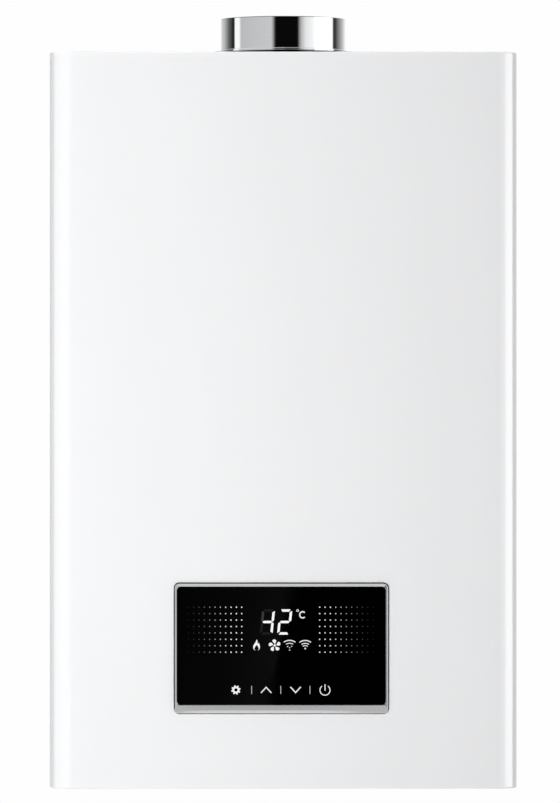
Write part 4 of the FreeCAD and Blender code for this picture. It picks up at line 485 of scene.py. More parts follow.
def moulded_finish(name, base):
    """Moulded plastic with an eroded texture and paler edges, partly rubbed wear and partly painted glint."""
    finish = Finish(name, base, 0.5)
    texture = finish.mask(GRAIN, scale=1500.0)
    # Paler edges: rubbed wear and a painted glint.
    finish.tint(finish.mask(RUB_AND_GLINT, width=0.7 * MM), shaded(base, 1.6), amount=0.5)
    finish.rough(texture, 0.42, 0.6)
    return finish.bump(texture, strength=0.18, depth=0.03 * MM).material


def board_finish(base):
    finish = Finish("board_green", base, 0.35, coat_weight=0.3, coat_roughness=0.15)
    tracks = finish.mask(BLOTCH, scale=120.0, low=0.5, high=0.53, stretch=(1.0, 0.2, 3.0))
    finish.tint(tracks, shaded(base, 1.9), amount=0.8)
    pads = finish.mask(BLOTCH, scale=330.0, low=0.66, high=0.68)
    finish.tint(pads, (0.62, 0.58, 0.50), amount=0.9)
    return finish.rough(tracks, 0.28, 0.4).material


def ceramic_finish():
    base = (0.78, 0.75, 0.68)
    finish = Finish("white_ceramic", base, 0.22, coat_weight=0.5, coat_roughness=0.1)
    finish.tint(finish.mask(BLOTCH, scale=200.0, low=0.58, high=0.7), (0.55, 0.47, 0.36), amount=0.6)
    return finish.rough(finish.mask(GRAIN, scale=500.0), 0.18, 0.3).material


UNLIT = neutral(0.001)
GLOW, SHEEN = "glow", "sheen"


def lit_finish(name, tone, glow):
    """A sign lit from behind the glass."""
    finish = Finish(name, UNLIT, 0.3)
    haze = finish.mask(BLOTCH, scale=900.0, low=0.2, high=0.8)
    glowing = mix_colours(finish.tree, haze, shaded(tone, glow), shaded(tone, 0.93 * glow))
    return finish.light(glowing).material


def dot_finish():
    """Lit dots whose level is stored on the mesh."""
    finish = Finish("lit_dots", UNLIT, 0.3)
    return finish.light(finish.stored_colour(GLOW)).material


def dress(material, *nodes):
    """Give a finish to nodes of the frame."""
    for name in nodes:
        node = frame["nodes"][name]
        if not node.material_slots:
            node.data.materials.append(material)
        for slot in node.material_slots:
            slot.material = material


# Outlines of the display's signs, in millimetres from the middle of the glass
ARC_DROP = 3.7


def round_points(centre, radius, start=0.0, stop=360.0, count=24):
    """Points on an arc; a full turn leaves out its last point."""
    steps = count if stop - start >= 360.0 else count - 1
    spots = []
    for i in range(count):
        turn = math.radians(start + (stop - start) * i / steps)
        spots.append((centre[0] + radius * math.cos(turn), centre[1] + radius * math.sin(turn)))
    return spots


def band(centre, outer, inner, start, stop, count=24):
    """An arc with thickness."""
    return (round_points(centre, outer, start, stop, count)
            + round_points(centre, inner, start, stop, count)[::-1])


def box_points(left, low, right, high):
    return [(left, low), (right, low), (right, high), (left, high)]


def bent_stroke(points, width):
    """A line of one corner with thickness, cut square at its ends."""
    (ax, ay), (bx, by), (cx, cy) = points
    first = Vector((bx - ax, by - ay)).normalized()
    last = Vector((cx - bx, cy - by)).normalized()
    sides = [Vector((-way.y, way.x)) for way in (first, last)]
    corner = (sides[0] + sides[1]).normalized()
    corner *= 1 / corner.dot(sides[0])
    half = width / 2
    offsets = ((ax, ay, sides[0]), (bx, by, corner), (cx, cy, sides[1]))
    left = [(x + half * way.x, y + half * way.y) for x, y, way in offsets]
    right = [(x - half * way.x, y - half * way.y) for x, y, way in offsets]
    return left + right[::-1]


def smooth_loop(points, steps):
    """A closed Catmull-Rom curve through the points."""
    spots = []
    total = len(points)
    for i in range(total):
        before, here, after, beyond = (Vector(points[(i + k) % total]) for k in (-1, 0, 1, 2))
        for j in range(steps):
            t = j / steps
            spot = 0.5 * (2 * here + (after - before) * t
                          + (2 * before - 5 * here + 4 * after - beyond) * t * t
                          + (3 * here - before - 3 * after + beyond) * t ** 3)
            spots.append((spot.x, spot.y))
    return spots


def moved(loop, across, up, stretch=1.0):
    return [(across + stretch * x, up + y) for x, y in loop]


def digit_strokes(display, names, across, up):
    """Seven-segment strokes leaning to the right, pointed at the middle and cut on a slant elsewhere."""
    half_width = display.digit_width / MM / 2
    half_height = display.digit_height / MM / 2
    half = display.stroke / MM / 2
    corners = {
        "a": ((half_width, half_height), (-half_width, half_height)),
        "b": ((half_width, 0), (half_width, half_height)),
        "c": ((half_width, -half_height), (half_width, 0)),
        "d": ((-half_width, -half_height), (half_width, -half_height)),
        "e": ((-half_width, 0), (-half_width, -half_height)),
        "f": ((-half_width, half_height), (-half_width, 0)),
        "g": ((-half_width, 0), (half_width, 0)),
    }
    lean = math.tan(display.slant)
    gap, near, far = 0.3 * half, 0.4 * half, 1.6 * half
    loops = []
    for name in names:
        start, stop = (Vector(corner) for corner in corners[name])
        along = (stop - start).normalized()
        inner = Vector((-along.y, along.x)) * half
        ring = []
        for end, way in ((start, along), (stop, -along)):
            if end.y == 0:
                tip = [end + way * gap, end + way * (gap + half)]
                cut = [tip[1] + inner, tip[0], tip[1] - inner]
            else:
                cut = [end + way * far + inner, end + way * near - inner]
            ring += cut if way is along else cut[::-1]
        loops.append([(across + spot.x + lean * spot.y, up + spot.y) for spot in ring])
    return loops


def flame_loop(across, up):
    """A flame with a second tongue on its right and a gap at its foot."""
    ring = [
        (0.1, 4.5), (0.95, 3.2), (0.8, 2.0), (1.45, 0.9), (2.05, 1.9), (2.9, 0.1), (3.2, -1.7),
        (2.6, -3.5), (1.2, -4.5), (2.15, -3.2), (1.8, -1.8), (0.2, 0.0), (-1.55, -1.8),
        (-2.1, -3.2), (-1.15, -4.5), (-2.6, -3.5), (-3.2, -1.8), (-2.7, 0.0), (-1.4, 1.7), (-0.5, 3.1),
    ]
    width, height = 0.83, 0.95
    return [(across + width * x, up + height * y) for x, y in smooth_loop(ring, steps=4)]


def blade_loop(across, up, reach, degrees):
    """One blade of the fan sign: a rounded lobe swept a little to one side."""
    middle, half, spread, sweep = 0.62, 0.38, 0.50, 0.25
    spots = []
    for x, y in round_points((0, 0), 1.0, count=20):
        out = middle + half * x
        turn = math.radians(degrees) + spread * y * (0.45 + 0.55 * out) + sweep * (out - 0.5)
        spots.append((across + reach * out * math.cos(turn), up + reach * out * math.sin(turn)))
    return spots


def gear_loops(across, up, reach):
    """A settings wheel with a round eye."""
    teeth, root, eye = 8, 0.76, 0.36
    rim = []
    for i in range(teeth):
        for part, size in ((0.0, root), (0.18, 1.0), (0.5, 1.0), (0.68, root)):
            turn = 2 * math.pi * (i + part) / teeth
            rim.append((across + reach * size * math.cos(turn), up + reach * size * math.sin(turn)))
    return [rim, round_points((across, up), eye * reach)]


def arc_loops(foot, arcs):
    """Arcs over a point, each given by its radius, its thickness and its spread to each side."""
    return [band(foot, outer, outer - thick, 90 - spread, 90 + spread) for outer, thick, spread in arcs]


def signal_loops(across, up):
    """Three arcs over a point."""
    arcs = arc_loops((across, up - ARC_DROP), ((8.0, 0.78, 36), (5.65, 0.68, 33), (3.85, 0.6, 35)))
    return arcs + [round_points((across, up - 2.4), 0.66)]


def linked_loops(across, up):
    """Two arcs over the ends of a third and a row of points."""
    foot = (across, up - ARC_DROP)
    loops = arc_loops(foot, ((8.1, 0.78, 36), (5.7, 0.6, 31)))
    for middle in (61, 119):
        loops.append(band(foot, 3.6, 3.05, middle - 9, middle + 9, 8))
    for rise in (-3.65, -1.7):
        loops.append(round_points((across, up + rise), 0.42, count=14))
    return loops


# Mesh building
def closed_mesh(name, shape):
    """A mesh of a bmesh, with its faces turned outwards."""
    bmesh.ops.recalc_face_normals(shape, faces=shape.faces)
    mesh = bpy.data.meshes.new(name)
    shape.to_mesh(mesh)
    shape.free()
    return mesh


def lofted_mesh(name, sections):
    """A smooth closed skin over rings of points that follow each other."""
    shape = bmesh.new()
    rings = [[shape.verts.new(spot) for spot in section] for section in sections]
    shape.faces.new(rings[0])
    for before, after in zip(rings, rings[1:]):
        for j in range(len(after)):
            shape.faces.new((before[j - 1], before[j], after[j], after[j - 1]))
    shape.faces.new(rings[-1][::-1])
    mesh = closed_mesh(name, shape)
    mesh.shade_smooth()
    return mesh


def flat_mesh(name, loops, depth):
    """A closed plate cut to the loops, the inner ones being holes, in metres on the XY plane."""
    line = bpy.data.curves.new(name, "CURVE")
    line.dimensions = "2D"
    line.fill_mode = "BOTH"
    line.extrude = depth / 2
    for loop in loops:
        spline = line.splines.new("POLY")
        spline.points.add(len(loop) - 1)
        spline.use_cyclic_u = True
        for point, (x, y) in zip(spline.points, loop):
            point.co = (x * MM, y * MM, 0, 1)
    holder = bpy.data.objects.new(name, line)
    bpy.context.scene.collection.objects.link(holder)
    bpy.context.view_layer.update()
    mesh = bpy.data.meshes.new_from_object(holder.evaluated_get(bpy.context.evaluated_depsgraph_get()))
    bpy.data.objects.remove(holder)
    bpy.data.curves.remove(line)
    shape = bmesh.new()
    shape.from_mesh(mesh)
    bmesh.ops.remove_doubles(shape, verts=shape.verts, dist=1e-7)
    bmesh.ops.recalc_face_normals(shape, faces=shape.faces)
    shape.to_mesh(mesh)
    shape.free()
    mesh.name = name
    return mesh


def add_piece(name, mesh, material, body):
    """A new piece that rides on a body."""
    piece = bpy.data.objects.new(name, mesh)
    bpy.context.scene.collection.objects.link(piece)
    mesh.materials.clear()
    mesh.materials.append(material)
    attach(piece, body)
    return piece


def lay_sign(name, loops, material):
    """A printed or lit sign on the front of the display glass."""
    display = bpy.context.scene.heater.display
    mesh = flat_mesh(name, loops, display.print_depth)
    front = GLASS_LOW.y - display.print_lift - display.print_depth / 2
    stand = Matrix.Translation((GLASS_MIDDLE.x, front, GLASS_MIDDLE.z)) @ Matrix.Rotation(math.pi / 2, 4, "X")
    mesh.transform(stand)
    return add_piece(name, mesh, material, COVER)


def screw_mesh(shape, head, thickness, stand):
    """A pan-head screw with a cross recess, its head's top at the origin and facing +Z."""
    recess, arm, flat = 0.52 * head / MM, 0.17 * head / MM, 0.8 * head / MM
    crown = 0.62 * thickness
    sides = 40
    cross = [(arm, arm), (recess, arm), (recess, -arm), (arm, -arm), (arm, -recess), (-arm, -recess),
             (-arm, -arm), (-recess, -arm), (-recess, arm), (-arm, arm), (-arm, recess), (arm, recess)]
    top = flat_mesh("head_top", [round_points((0, 0), flat, count=sides), cross[::-1]], crown)
    top.transform(stand @ Matrix.Translation((0, 0, -crown / 2)))
    shape.from_mesh(top)
    bpy.data.meshes.remove(top)

    def ring(radius, depth):
        return [shape.verts.new(stand @ Vector((x * MM, y * MM, depth)))
                for x, y in round_points((0, 0), radius, count=sides)]

    profile = ((0.8, 0.0), (0.9, -0.16), (0.97, -0.40), (1.0, -0.72), (1.0, -1.0))
    rings = [ring(radius * head / MM, depth * thickness) for radius, depth in profile]
    floor = ring(flat, -crown)
    for low, high in zip([floor] + rings, rings):
        for i in range(sides):
            shape.faces.new((low[i - 1], low[i], high[i], high[i - 1]))
    shape.faces.new(floor)
    shape.faces.new(rings[-1][::-1])


def lay_screws(name, node, seats, facing, head, material):
    """Detailed heads in place of a node of plain screws."""
    thickness = 2.4 * MM
    shape = bmesh.new()
    for seat, way in zip(seats, facing):
        turn = Vector(way).to_track_quat("Z", "Y").to_matrix().to_4x4()
        screw_mesh(shape, head, thickness, Matrix.Translation(seat) @ turn)
    piece = add_piece(name, closed_mesh(name, shape), material, CHASSIS)
    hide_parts(node)


def thread_mesh(name, mount, pitch, height):
    """A helical ridge round a stub, fading in and out at its ends."""
    radius = mount["dims"]["r_mm"] * MM
    run = mount["dims"]["length_mm"] * MM
    middle = Vector(mount["pos_m"])
    margin = 0.7 * pitch
    low = middle.z - run / 2 + margin
    turns = int((run - 2 * margin) / pitch)
    steps = 36
    root, foot, crest = -0.4 * MM, 0.46 * pitch, 0.06 * pitch
    sections = []
    for i in range(turns * steps + 1):
        turn = 2 * math.pi * i / steps
        tip = height * min(1.0, i / steps, (turns * steps - i) / steps)
        rise = low + pitch * i / steps
        profile = ((root, -foot), (tip, -crest), (tip, crest), (root, foot))
        sections.append([(middle.x + (radius + reach) * math.cos(turn),
                          middle.y + (radius + reach) * math.sin(turn), rise + lift) for reach, lift in profile])
    return lofted_mesh(name, sections)


# Chin of the display frame in millimetres: height over its foot, depth behind its face, share of the lip
CHIN_LIP = (
    (0.7, 2.18, -0.04), (1.0, 2.0, 0.13), (1.5, 1.8, 0.35), (2.3, 1.538, 0.72), (3.0, 1.309, 1.0),
    (3.4, 1.178, 0.97), (4.6, 0.785, 0.62), (5.6, 0.458, 0.32), (6.7, 0.098, -0.04),
)
CHIN_INSIDE = ((6.3, 0.5), (3.6, 1.4), (1.5, 2.05), (0.85, 2.3))


def lip_mesh(name, height):
    """A low lip along the chin of the display frame, running out before both ends."""
    corner = Vector(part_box("display_bezel")[0])
    left, right, step = corner.x / MM + 6, 70, 2
    crest, level_run, fall, rise = -15, 25, 60, 6
    sunk = 0.05
    sections = []
    for i in range(int((right - left) / step) + 1):
        x = left + step * i
        swell = min(1.0, (x - left) / rise, max(0.0, 1 - (abs(x - crest) - level_run) / fall))
        outside = [(up, depth + sunk - (sunk + height / MM * share) * swell) for up, depth, share in CHIN_LIP]
        sections.append([(x * MM, corner.y + depth * MM, corner.z + up * MM)
                         for up, depth in (*outside, *CHIN_INSIDE)])
    mesh = lofted_mesh(name, sections)
    mesh.set_sharp_from_angle(angle=math.radians(40))
    return mesh


# Operators
class HEATER_OT_casing(bpy.types.Operator):
    """Enamel on the cover and zinc on the chassis sheets"""
    bl_idname = "heater.casing"
    bl_label = "Casing"

    def execute(self, context):
        finishes = context.scene.heater.finishes
        dress(enamel_finish(finishes.enamel), "front_cover")
        dress(zinc_finish(finishes.zinc), "back_plate", "top_plate", "bottom_plate", "flue_hood", "fan_housing",
              "fan_inlet_plate", "fan_wheel", "chamber_brackets", "burner_box")
        return {"FINISHED"}


class HEATER_OT_flue(bpy.types.Operator):
    """Polished collar with a painted dark reflection along its rim, its flange with a painted shadow line, and its
    gasket
    """
    bl_idname = "heater.flue"
    bl_label = "Flue collar"

    def execute(self, context):
        base = context.scene.heater.finishes.polish
        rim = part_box("flue_collar")[1][2]
        # Painted dark reflection: a dark band along the collar's top rim, not a cut edge.
        painted_dark_rim = (rim - 0.6 * MM, rim + 1.0 * MM)
        dress(polish_finish("polished_steel", base, *painted_dark_rim, dark=0.2), "flue_collar")
        low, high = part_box("collar_flange")
        # Painted shadow: a near-black band on the flange's neck standing in for the shadow of the gap under the
        # hoop.
        painted_gap_shadow = (low[2] + 1.1 * MM, high[2] - 1.9 * MM)
        dress(polish_finish("steel_with_painted_shadow", base, *painted_gap_shadow, dark=0.02), "collar_flange")
        dress(rubber_finish(), "collar_gasket")
        return {"FINISHED"}


class HEATER_OT_panel_frame(bpy.types.Operator):
    """Silver frame with painted shade on its flanks, its chin lip, and the black glass of the display"""
    bl_idname = "heater.panel_frame"
    bl_label = "Display frame"

    def execute(self, context):
        finishes = context.scene.heater.finishes
        # The frame's flanks carry painted shade; the chin lip has none.
        dress(trim_finish("silver_trim", finishes.trim, shade_flanks=True), "display_bezel")
        lip = lip_mesh("chin_lip", context.scene.heater.display.lip_height)
        add_piece("chin_lip", lip, trim_finish("silver_lip", finishes.trim, shade_flanks=False), COVER)
        dress(glass_finish(finishes.glass), "display_glass")
        return {"FINISHED"}


class HEATER_OT_digits(bpy.types.Operator):
    """Lit digits, their unlit strokes with a painted faint glow, and the degree sign"""
    bl_idname = "heater.digits"
    bl_label = "Digits"

    # Places in millimetres from the middle of the glass
    TENS, ROW = -10.95, 18.75
    DEGREE = (12.9, 27.7)
    CELSIUS = (16.8, 24.4)

    def execute(self, context):
        settings = context.scene.heater
        display = settings.display
        tone = settings.finishes.light
        ones = self.TENS + display.digit_pitch / MM
        lit = digit_strokes(display, "bcg", self.TENS, self.ROW) + digit_strokes(display, "abged", ones, self.ROW)
        lay_sign("lit_digits", lit, lit_finish("lit_digits", tone, glow=1.0))
        # Painted glow: the unlit strokes shine faintly though no light drives them.
        for name, strokes, glow in (("unlit_strokes", "f", 0.035), ("faint_strokes", "ade", 0.004)):
            dim = digit_strokes(display, strokes, self.TENS, self.ROW)
            lay_sign(name, dim, lit_finish(name, tone, glow))
        degree = [round_points(self.DEGREE, radius) for radius in (1.0, 0.5)]
        celsius = moved(band((0, 0), 2.95, 1.95, 42, 318, 30), *self.CELSIUS, stretch=0.9)
        lay_sign("degree_sign", degree + [celsius], lit_finish("degree_sign", tone, glow=0.9))
        return {"FINISHED"}


class HEATER_OT_signs(bpy.types.Operator):
    """Lit signs for flame, fan and the two radio links"""
    bl_idname = "heater.signs"
    bl_label = "Signs"

    # Places in millimetres from the middle of the glass
    ROW = 0.25
    FLAME, FAN, LINKED, SIGNAL = -19.5, -5.2, 6.6, 18.9

    def execute(self, context):
        tone = context.scene.heater.finishes.light
        white = lit_finish("lit_signs", tone, glow=0.95)
        lay_sign("flame_sign", [flame_loop(self.FLAME, self.ROW + 0.3)], white)
        count, reach, hub = 5, 4.75, 0.85
        blades = [blade_loop(self.FAN, self.ROW, reach, 90 + 360 / count * i) for i in range(count)]
        lay_sign("fan_sign", blades + [round_points((self.FAN, self.ROW), hub)], white)
        soft = lit_finish("lit_arcs", tone, glow=0.87)
        lay_sign("linked_sign", linked_loops(self.LINKED, self.ROW), soft)
        lay_sign("signal_sign", signal_loops(self.SIGNAL, self.ROW), soft)
        return {"FINISHED"}


class HEATER_OT_keys(bpy.types.Operator):
    """Touch keys along the foot of the glass"""
    bl_idname = "heater.keys"
    bl_label = "Touch keys"

    # Places in millimetres from the middle of the glass
    ROW = -34.85
    SETTINGS, UP, DOWN, POWER = -35.8, -11.9, 11.3, 34.5
    DIVIDERS = (-23.4, -0.4, 22.6)

    def execute(self, context):
        settings = context.scene.heater
        tone = settings.finishes.light
        stroke = settings.display.key_stroke / MM
        white = lit_finish("key_print", tone, glow=0.9)
        lay_sign("settings_key", gear_loops(self.SETTINGS, self.ROW, reach=3.7), white)
        rising = [(-4.1, -2.35), (0.0, 2.1), (4.1, -2.35)]
        lay_sign("up_key", [moved(bent_stroke(rising, stroke), self.UP, self.ROW)], white)
        falling = [(x, -y) for x, y in rising]
        lay_sign("down_key", [moved(bent_stroke(falling, stroke), self.DOWN, self.ROW)], white)
        radius, half_bar = 4.3, 0.42 * stroke
        ring = band((0, 0), radius, radius - 0.8 * stroke, 127, 413, 40)
        bar = box_points(-half_bar, -0.4, half_bar, 4.6)
        lay_sign("power_key", [moved(loop, self.POWER, self.ROW - 0.2) for loop in (ring, bar)], white)
        half_line, rise = 0.27, 3.2
        lines = [box_points(x - half_line, self.ROW - rise, x + half_line, self.ROW + rise) for x in self.DIVIDERS]
        lay_sign("key_dividers", lines, lit_finish("divider_print", tone, glow=0.5))
        return {"FINISHED"}


class HEATER_OT_dots(bpy.types.Operator):
    """Fields of dots beside the digits, fading outwards"""
    bl_idname = "heater.dots"
    bl_label = "Dot fields"

    # Inner column, top row and shift of both fields, in millimetres from the middle of the glass
    INNER, TOP, SHIFT = 30.75, 30.4, -0.45

    def execute(self, context):
        settings = context.scene.heater
        display = settings.display
        material = dot_finish()
        pitch, rise, radius = (size / MM for size in (display.dot_pitch, display.dot_rise, display.dot_radius))
        for name, side, gain in (("dot_field_left", -1, 1.0), ("dot_field_right", 1, 0.9)):
            loops = []
            for column in range(display.dot_columns):
                size = radius * (1 - 0.15 * column / display.dot_columns)
                across = side * (self.INNER + column * pitch) + self.SHIFT
                loops += [round_points((across, self.TOP - row * rise), size, count=16)
                          for row in range(display.dot_rows)]
            field = lay_sign(name, loops, material)
            self.fade(field.data, side, gain, display, settings.finishes.light)
        return {"FINISHED"}

    def fade(self, mesh, side, gain, display, tone):
        """Store each dot's level, from full near the digits to almost nothing."""
        glow = mesh.color_attributes.new(GLOW, "FLOAT_COLOR", "POINT")
        full, reach, power = 0.2, 1.2, 2.7
        for vertex, stored in zip(mesh.vertices, glow.data):
            out = side * ((vertex.co.x - GLASS_MIDDLE.x) / MM - self.SHIFT) - self.INNER
            share = round(out * MM / display.dot_pitch) / display.dot_columns
            strength = 1.0 if share < full else max(0.0, reach * (1 - share)) ** power
            stored.color = (*shaded(tone, gain * strength), 1)


class HEATER_OT_screws(bpy.types.Operator):
    """Cross-recess screws on the casing's sides and round the collar"""
    bl_idname = "heater.screws"
    bl_label = "Screws"

    def execute(self, context):
        steel = plated_finish(context.scene.heater.finishes.plating)
        low, high = (Vector(corner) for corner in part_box("cover_screws"))
        head = (high.y - low.y) / 2
        middle = (high.y + low.y) / 2
        seats = [(x, middle, z) for x in (low.x, high.x) for z in (low.z + head, high.z - head)]
        facing = [(math.copysign(1, seat[0]), 0, 0) for seat in seats]
        lay_screws("cover_screw_heads", "cover_screws", seats, facing, head, steel)
        low, high = (Vector(corner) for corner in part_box("collar_screws"))
        seats = [(x, y, high.z) for x in (low.x + head, high.x - head) for y in (low.y + head, high.y - head)]
        lay_screws("collar_screw_heads", "collar_screws", seats, [(0, 0, 1)] * len(seats), head, steel)
        dress(steel, "chassis_screws", "motor_screws", "fan_shaft", "turbine_axle", "shutoff_plunger",
              "modulating_plunger", "overheat_thermostats")
        return {"FINISHED"}


class HEATER_OT_connections(bpy.types.Operator):
    """Brass fittings and the threads on their stubs"""
    bl_idname = "heater.connections"
    bl_label = "Connections"

    def execute(self, context):
        brass = brass_finish(context.scene.heater.finishes.brass)
        dress(brass, "gas_nozzles", "gas_inlet_fitting", "cold_inlet_fitting", "hot_outlet_fitting", "pipe_nuts",
              "drain_plug", "outlet_sensor")
        for name in ("hot_outlet", "cold_inlet", "gas_inlet"):
            mesh = thread_mesh(name + "_thread", MOUNTS[name], pitch=1.814 * MM, height=0.35 * MM)
            add_piece(name + "_thread", mesh, brass, CHASSIS)
        return {"FINISHED"}


class HEATER_OT_heat_unit(bpy.types.Operator):
    """Copper exchanger, burner, fan motor and gas train"""
    bl_idname = "heater.heat_unit"
    bl_label = "Heat unit"

    def execute(self, context):
        finishes = context.scene.heater.finishes
        dress(copper_finish(finishes.copper), "combustion_chamber", "fin_block", "exchanger_tube", "chamber_coil",
              "cold_pipe", "hot_pipe")
        dress(burner_finish(finishes.plating), "burner_bars", "inlet_strainer")
        dress(motor_finish(), "fan_motor")
        dress(cast_finish(finishes.cast), "gas_valve_body", "gas_manifold", "gas_feed_pipe", "pressure_tube")
        dress(ceramic_finish(), "spark_electrodes", "flame_rod")
        return {"FINISHED"}


class HEATER_OT_electrics(bpy.types.Operator):
    """Plastic housings, coils and circuit boards"""
    bl_idname = "heater.electrics"
    bl_label = "Electrics"

    def execute(self, context):
        finishes = context.scene.heater.finishes
        dress(moulded_finish("black_plastic", finishes.black), "display_housing", "shutoff_coil", "modulating_coil",
              "control_lid", "cord_gland", "display_plug", "spark_generator")
        dress(moulded_finish("grey_plastic", finishes.grey), "flow_sensor_body", "flow_turbine", "pressure_switch",
              "control_tray")
        dress(board_finish(finishes.board), "control_board", "display_board")
        return {"FINISHED"}


class HEATER_OT_stage(bpy.types.Operator):
    """Floor, studio surroundings, lamps and the camera"""
    bl_idname = "heater.stage"
    bl_label = "Stage"

    # Surroundings seen in gloss: degrees from the camera's side, right positive, and level
    SURROUND = (
        (-180, 0.98), (-139, 0.54), (-121, 0.15), (-107, 0.012), (-103, 0.02), (-101, 1.2), (-90, 1.2),
        (-85, 0.62), (-22, 0.71), (-15, 0.01), (-12, 0.003), (27, 0.003), (33, 0.55), (42, 0.96),
        (60, 1.2), (100, 1.2), (104, 0.9), (107, 0.03), (114, 0.06), (159, 0.95), (180, 0.98),
    )
    # Zones above and below them: heights between which each sets in, and level
    ZONES = ((0.22, 0.5, 0.95), (0.84, 0.95, 0.2))
    # Brighter patch of the floor in gloss: limits forwards and sideways, and levels off it and on it
    PATCH_AHEAD, PATCH_ASIDE, PATCH_SHINE = (-1.45, -1.05), (0.1, 0.5), (0.47, 0.95)
    # Dim card: levels across from its sharp edge and down from its top, size, lean and upper corner
    CARD_ACROSS = (1.0, 0.62, 0.30, 0.16, 0.08, 0.0)
    CARD_DOWN = (0.35, 0.62, 1.0, 1.0, 0.55)
    CARD_SIZE, CARD_LEAN, CARD_CORNER = (0.125, 0.40), 0.076, (0.036, -2.4, -0.06)

    def execute(self, context):
        stage = context.scene.heater.stage
        self.world(context.scene, stage)
        self.floor(stage)
        self.card()
        self.lamps(stage)
        self.camera(context.scene, stage)
        context.scene.view_settings.view_transform = "Standard"
        return {"FINISHED"}

    def world(self, scene, stage):
        """White to the camera, studio cards to gloss, and even light to the rest."""
        world = bpy.data.worlds.new("studio")
        scene.world = world
        world.use_nodes = True
        tree = world.node_tree
        way = parts_of(tree, tree.nodes.new("ShaderNodeTexCoord").outputs["Generated"])
        turn = math_node(tree, "ARCTAN2", way["X"], math_node(tree, "MULTIPLY", way["Y"], -1.0))
        share = math_node(tree, "ADD", math_node(tree, "DIVIDE", turn, 2 * math.pi), 0.5)
        ramp = tree.nodes.new("ShaderNodeValToRGB")
        stops = ramp.color_ramp.elements
        for degrees, bright in self.SURROUND[1:-1]:
            stops.new(degrees / 360 + 0.5).color = (*neutral(bright), 1)
        for end in (0, -1):
            stops[end].color = (*neutral(self.SURROUND[end][1]), 1)
        tree.links.new(share, ramp.inputs[0])
        gloss = ramp.outputs["Color"]
        height = math_node(tree, "ABSOLUTE", way["Z"])
        for low, high, bright in self.ZONES:
            gloss = mix_colours(tree, map_range(tree, height, low, high), gloss, neutral(bright))
        path = tree.nodes.new("ShaderNodeLightPath")
        shiny = math_node(tree, "MAXIMUM", path.outputs["Is Glossy Ray"], path.outputs["Is Transmission Ray"])
        around = mix_colours(tree, shiny, neutral(stage.ambient), gloss)
        seen = mix_colours(tree, path.outputs["Is Camera Ray"], around, neutral(stage.backdrop))
        tree.links.new(seen, tree.nodes["Background"].inputs["Color"])

    def floor(self, stage):
        """A wide pale floor, mostly white to the camera and clear from below."""
        half, drop = 9.0, -stage.floor_drop
        mesh = bpy.data.meshes.new("floor")
        corners = [(-half, -half, drop), (half, -half, drop), (half, half, drop), (-half, half, drop)]
        mesh.from_pydata(corners, [], [(0, 1, 2, 3)])
        finish = Finish("pale_floor", neutral(0.82), 0.8)
        tree = finish.tree
        glow = tree.nodes.new("ShaderNodeEmission")
        glow.inputs["Color"].default_value = (*neutral(1.0), 1)
        glow.inputs["Strength"].default_value = 1.12 * stage.backdrop
        geometry = tree.nodes.new("ShaderNodeNewGeometry")
        spot = parts_of(tree, geometry.outputs["Position"])
        ahead = map_range(tree, spot["Y"], *self.PATCH_AHEAD)
        aside = map_range(tree, math_node(tree, "ABSOLUTE", spot["X"]), *self.PATCH_ASIDE, 1.0, 0.0)
        patch = math_node(tree, "MULTIPLY", ahead, aside)
        path = tree.nodes.new("ShaderNodeLightPath")
        shine = map_range(tree, patch, 0.0, 1.0, *self.PATCH_SHINE)
        gloss = math_node(tree, "MULTIPLY", path.outputs["Is Glossy Ray"], shine)
        bright = math_node(tree, "MAXIMUM", path.outputs["Is Camera Ray"], gloss)
        share = math_node(tree, "MULTIPLY", bright, 0.85)
        upper = self.mixed(tree, share, finish.shader, glow)
        clear = tree.nodes.new("ShaderNodeBsdfTransparent")
        both = self.mixed(tree, geometry.outputs["Backfacing"], upper, clear)
        tree.links.new(both.outputs[0], tree.nodes["Material Output"].inputs["Surface"])
        self.set_up(mesh, finish)

    def mixed(self, tree, share, first, second):
        """Two shader nodes mixed by a socket."""
        node = tree.nodes.new("ShaderNodeMixShader")
        for socket, value in zip(node.inputs, (share, first.outputs[0], second.outputs[0])):
            tree.links.new(value, socket)
        return node

    def set_up(self, mesh, finish):
        """Put a stage mesh into the scene."""
        mesh.materials.append(finish.material)
        thing = bpy.data.objects.new(mesh.name, mesh)
        bpy.context.scene.collection.objects.link(thing)
        return thing

    def card(self):
        """A dim card, brightest along the slanting edge that shows in the display glass."""
        width, height = self.CARD_SIZE
        edge, away, top = self.CARD_CORNER
        columns, rows = len(self.CARD_ACROSS), len(self.CARD_DOWN)
        spots = []
        for j in range(rows):
            down = j / (rows - 1)
            spots += [(edge - self.CARD_LEAN * down - width * i / (columns - 1), away, top - height * down)
                      for i in range(columns)]
        faces = [(j * columns + i, j * columns + i + 1, (j + 1) * columns + i + 1, (j + 1) * columns + i)
                 for j in range(rows - 1) for i in range(columns - 1)]
        mesh = bpy.data.meshes.new("sheen_card")
        mesh.from_pydata(spots, [], faces)
        levels = mesh.color_attributes.new(SHEEN, "FLOAT_COLOR", "POINT")
        for k, stored in enumerate(levels.data):
            stored.color = (*neutral(self.CARD_ACROSS[k % columns] * self.CARD_DOWN[k // columns]), 1)
        finish = Finish("card_grey", neutral(0.0), 0.5)
        card = self.set_up(mesh, finish.light(finish.stored_colour(SHEEN), strength=0.08))
        card.visible_camera = False
        card.visible_diffuse = False
        card.visible_shadow = False

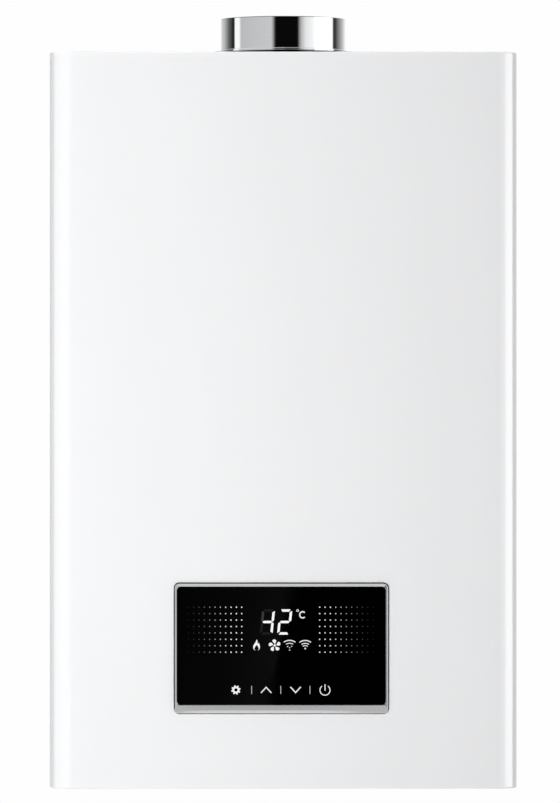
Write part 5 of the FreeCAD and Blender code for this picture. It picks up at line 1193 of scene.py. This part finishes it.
    def lamps(self, stage):
        """Soft lamps round the casing; the key stands far off in a narrow beam."""
        middle = (0, FRONT, 0)
        key = self.lamp("key_lamp", stage.key_power, self.around(-20, 3.5), (0.3, 2.4), (-0.42, FRONT, 0))
        key.spread = math.radians(50)
        self.lamp("side_lamp", stage.side_power, self.around(83, 1.5), (1.15, 0.95), middle, shows=True)
        self.lamp("left_lamp", stage.left_power, self.around(-105, 1.3), (0.5, 1.2), middle)
        self.lamp("right_lamp", stage.right_power, self.around(105, 1.3), (0.5, 1.2), middle)
        self.lamp("top_lamp", stage.top_power, (0, -0.25, 2.1), (1.6, 1.2), (0, -0.1, 0))
        self.lamp("back_lamp", stage.back_power, (0.5, 2.4, 1.0), (2.2, 1.8), (0, 0, 0))

    def around(self, degrees, distance):
        """A place round the front of the cover, right of the camera's side positive."""
        turn = math.radians(degrees)
        return (distance * math.sin(turn), FRONT - distance * math.cos(turn), 0.0)

    def lamp(self, name, watts, place, size, target, shows=False):
        """A soft lamp, which shows in gloss only where asked."""
        light = bpy.data.lights.new(name, "AREA")
        light.shape = "RECTANGLE"
        light.size, light.size_y = size
        light.energy = watts
        holder = bpy.data.objects.new(name, light)
        bpy.context.scene.collection.objects.link(holder)
        holder.location = place
        holder.rotation_euler = (Vector(target) - Vector(place)).to_track_quat("-Z", "Y").to_euler()
        holder.visible_camera = False
        holder.visible_glossy = shows
        return light

    def camera(self, scene, stage):
        """A long lens straight in front of the casing."""
        lens = bpy.data.cameras.new("photo_camera")
        lens.lens = stage.lens
        lens.sensor_width = 36.0
        lens.clip_end = 100.0
        camera = bpy.data.objects.new("photo_camera", lens)
        scene.collection.objects.link(camera)
        camera.location = (-stage.camera_side, -stage.camera_distance, stage.camera_rise)
        camera.rotation_euler = (math.pi / 2, 0, 0)
        scene.camera = camera


OPERATORS = (
    HEATER_OT_casing,
    HEATER_OT_flue,
    HEATER_OT_panel_frame,
    HEATER_OT_digits,
    HEATER_OT_signs,
    HEATER_OT_keys,
    HEATER_OT_dots,
    HEATER_OT_screws,
    HEATER_OT_connections,
    HEATER_OT_heat_unit,
    HEATER_OT_electrics,
    HEATER_OT_stage,
)


class HEATER_PT_looks(bpy.types.Panel):
    """Lists the heater's operators and settings"""
    bl_label = "Gas water heater"
    bl_idname = "HEATER_PT_looks"
    bl_space_type = "VIEW_3D"
    bl_region_type = "UI"
    bl_category = "Heater"

    def draw(self, context):
        settings = context.scene.heater
        for operator in OPERATORS:
            self.layout.operator(operator.bl_idname)
        for group in (settings.finishes, settings.display, settings.stage):
            box = self.layout.box()
            for name in group.__annotations__:
                box.prop(group, name)


CLASSES = (HeaterFinishes, HeaterDisplay, HeaterStage, HeaterSettings, *OPERATORS, HEATER_PT_looks)


def register():
    for item in CLASSES:
        bpy.utils.register_class(item)
    bpy.types.Scene.heater = PointerProperty(type=HeaterSettings)


def unregister():
    del bpy.types.Scene.heater
    for item in reversed(CLASSES):
        bpy.utils.unregister_class(item)


def main():
    register()
    for operator in OPERATORS:
        family, name = operator.bl_idname.split(".")
        getattr(getattr(bpy.ops, family), name)()


if __name__ == "__main__":
    main()
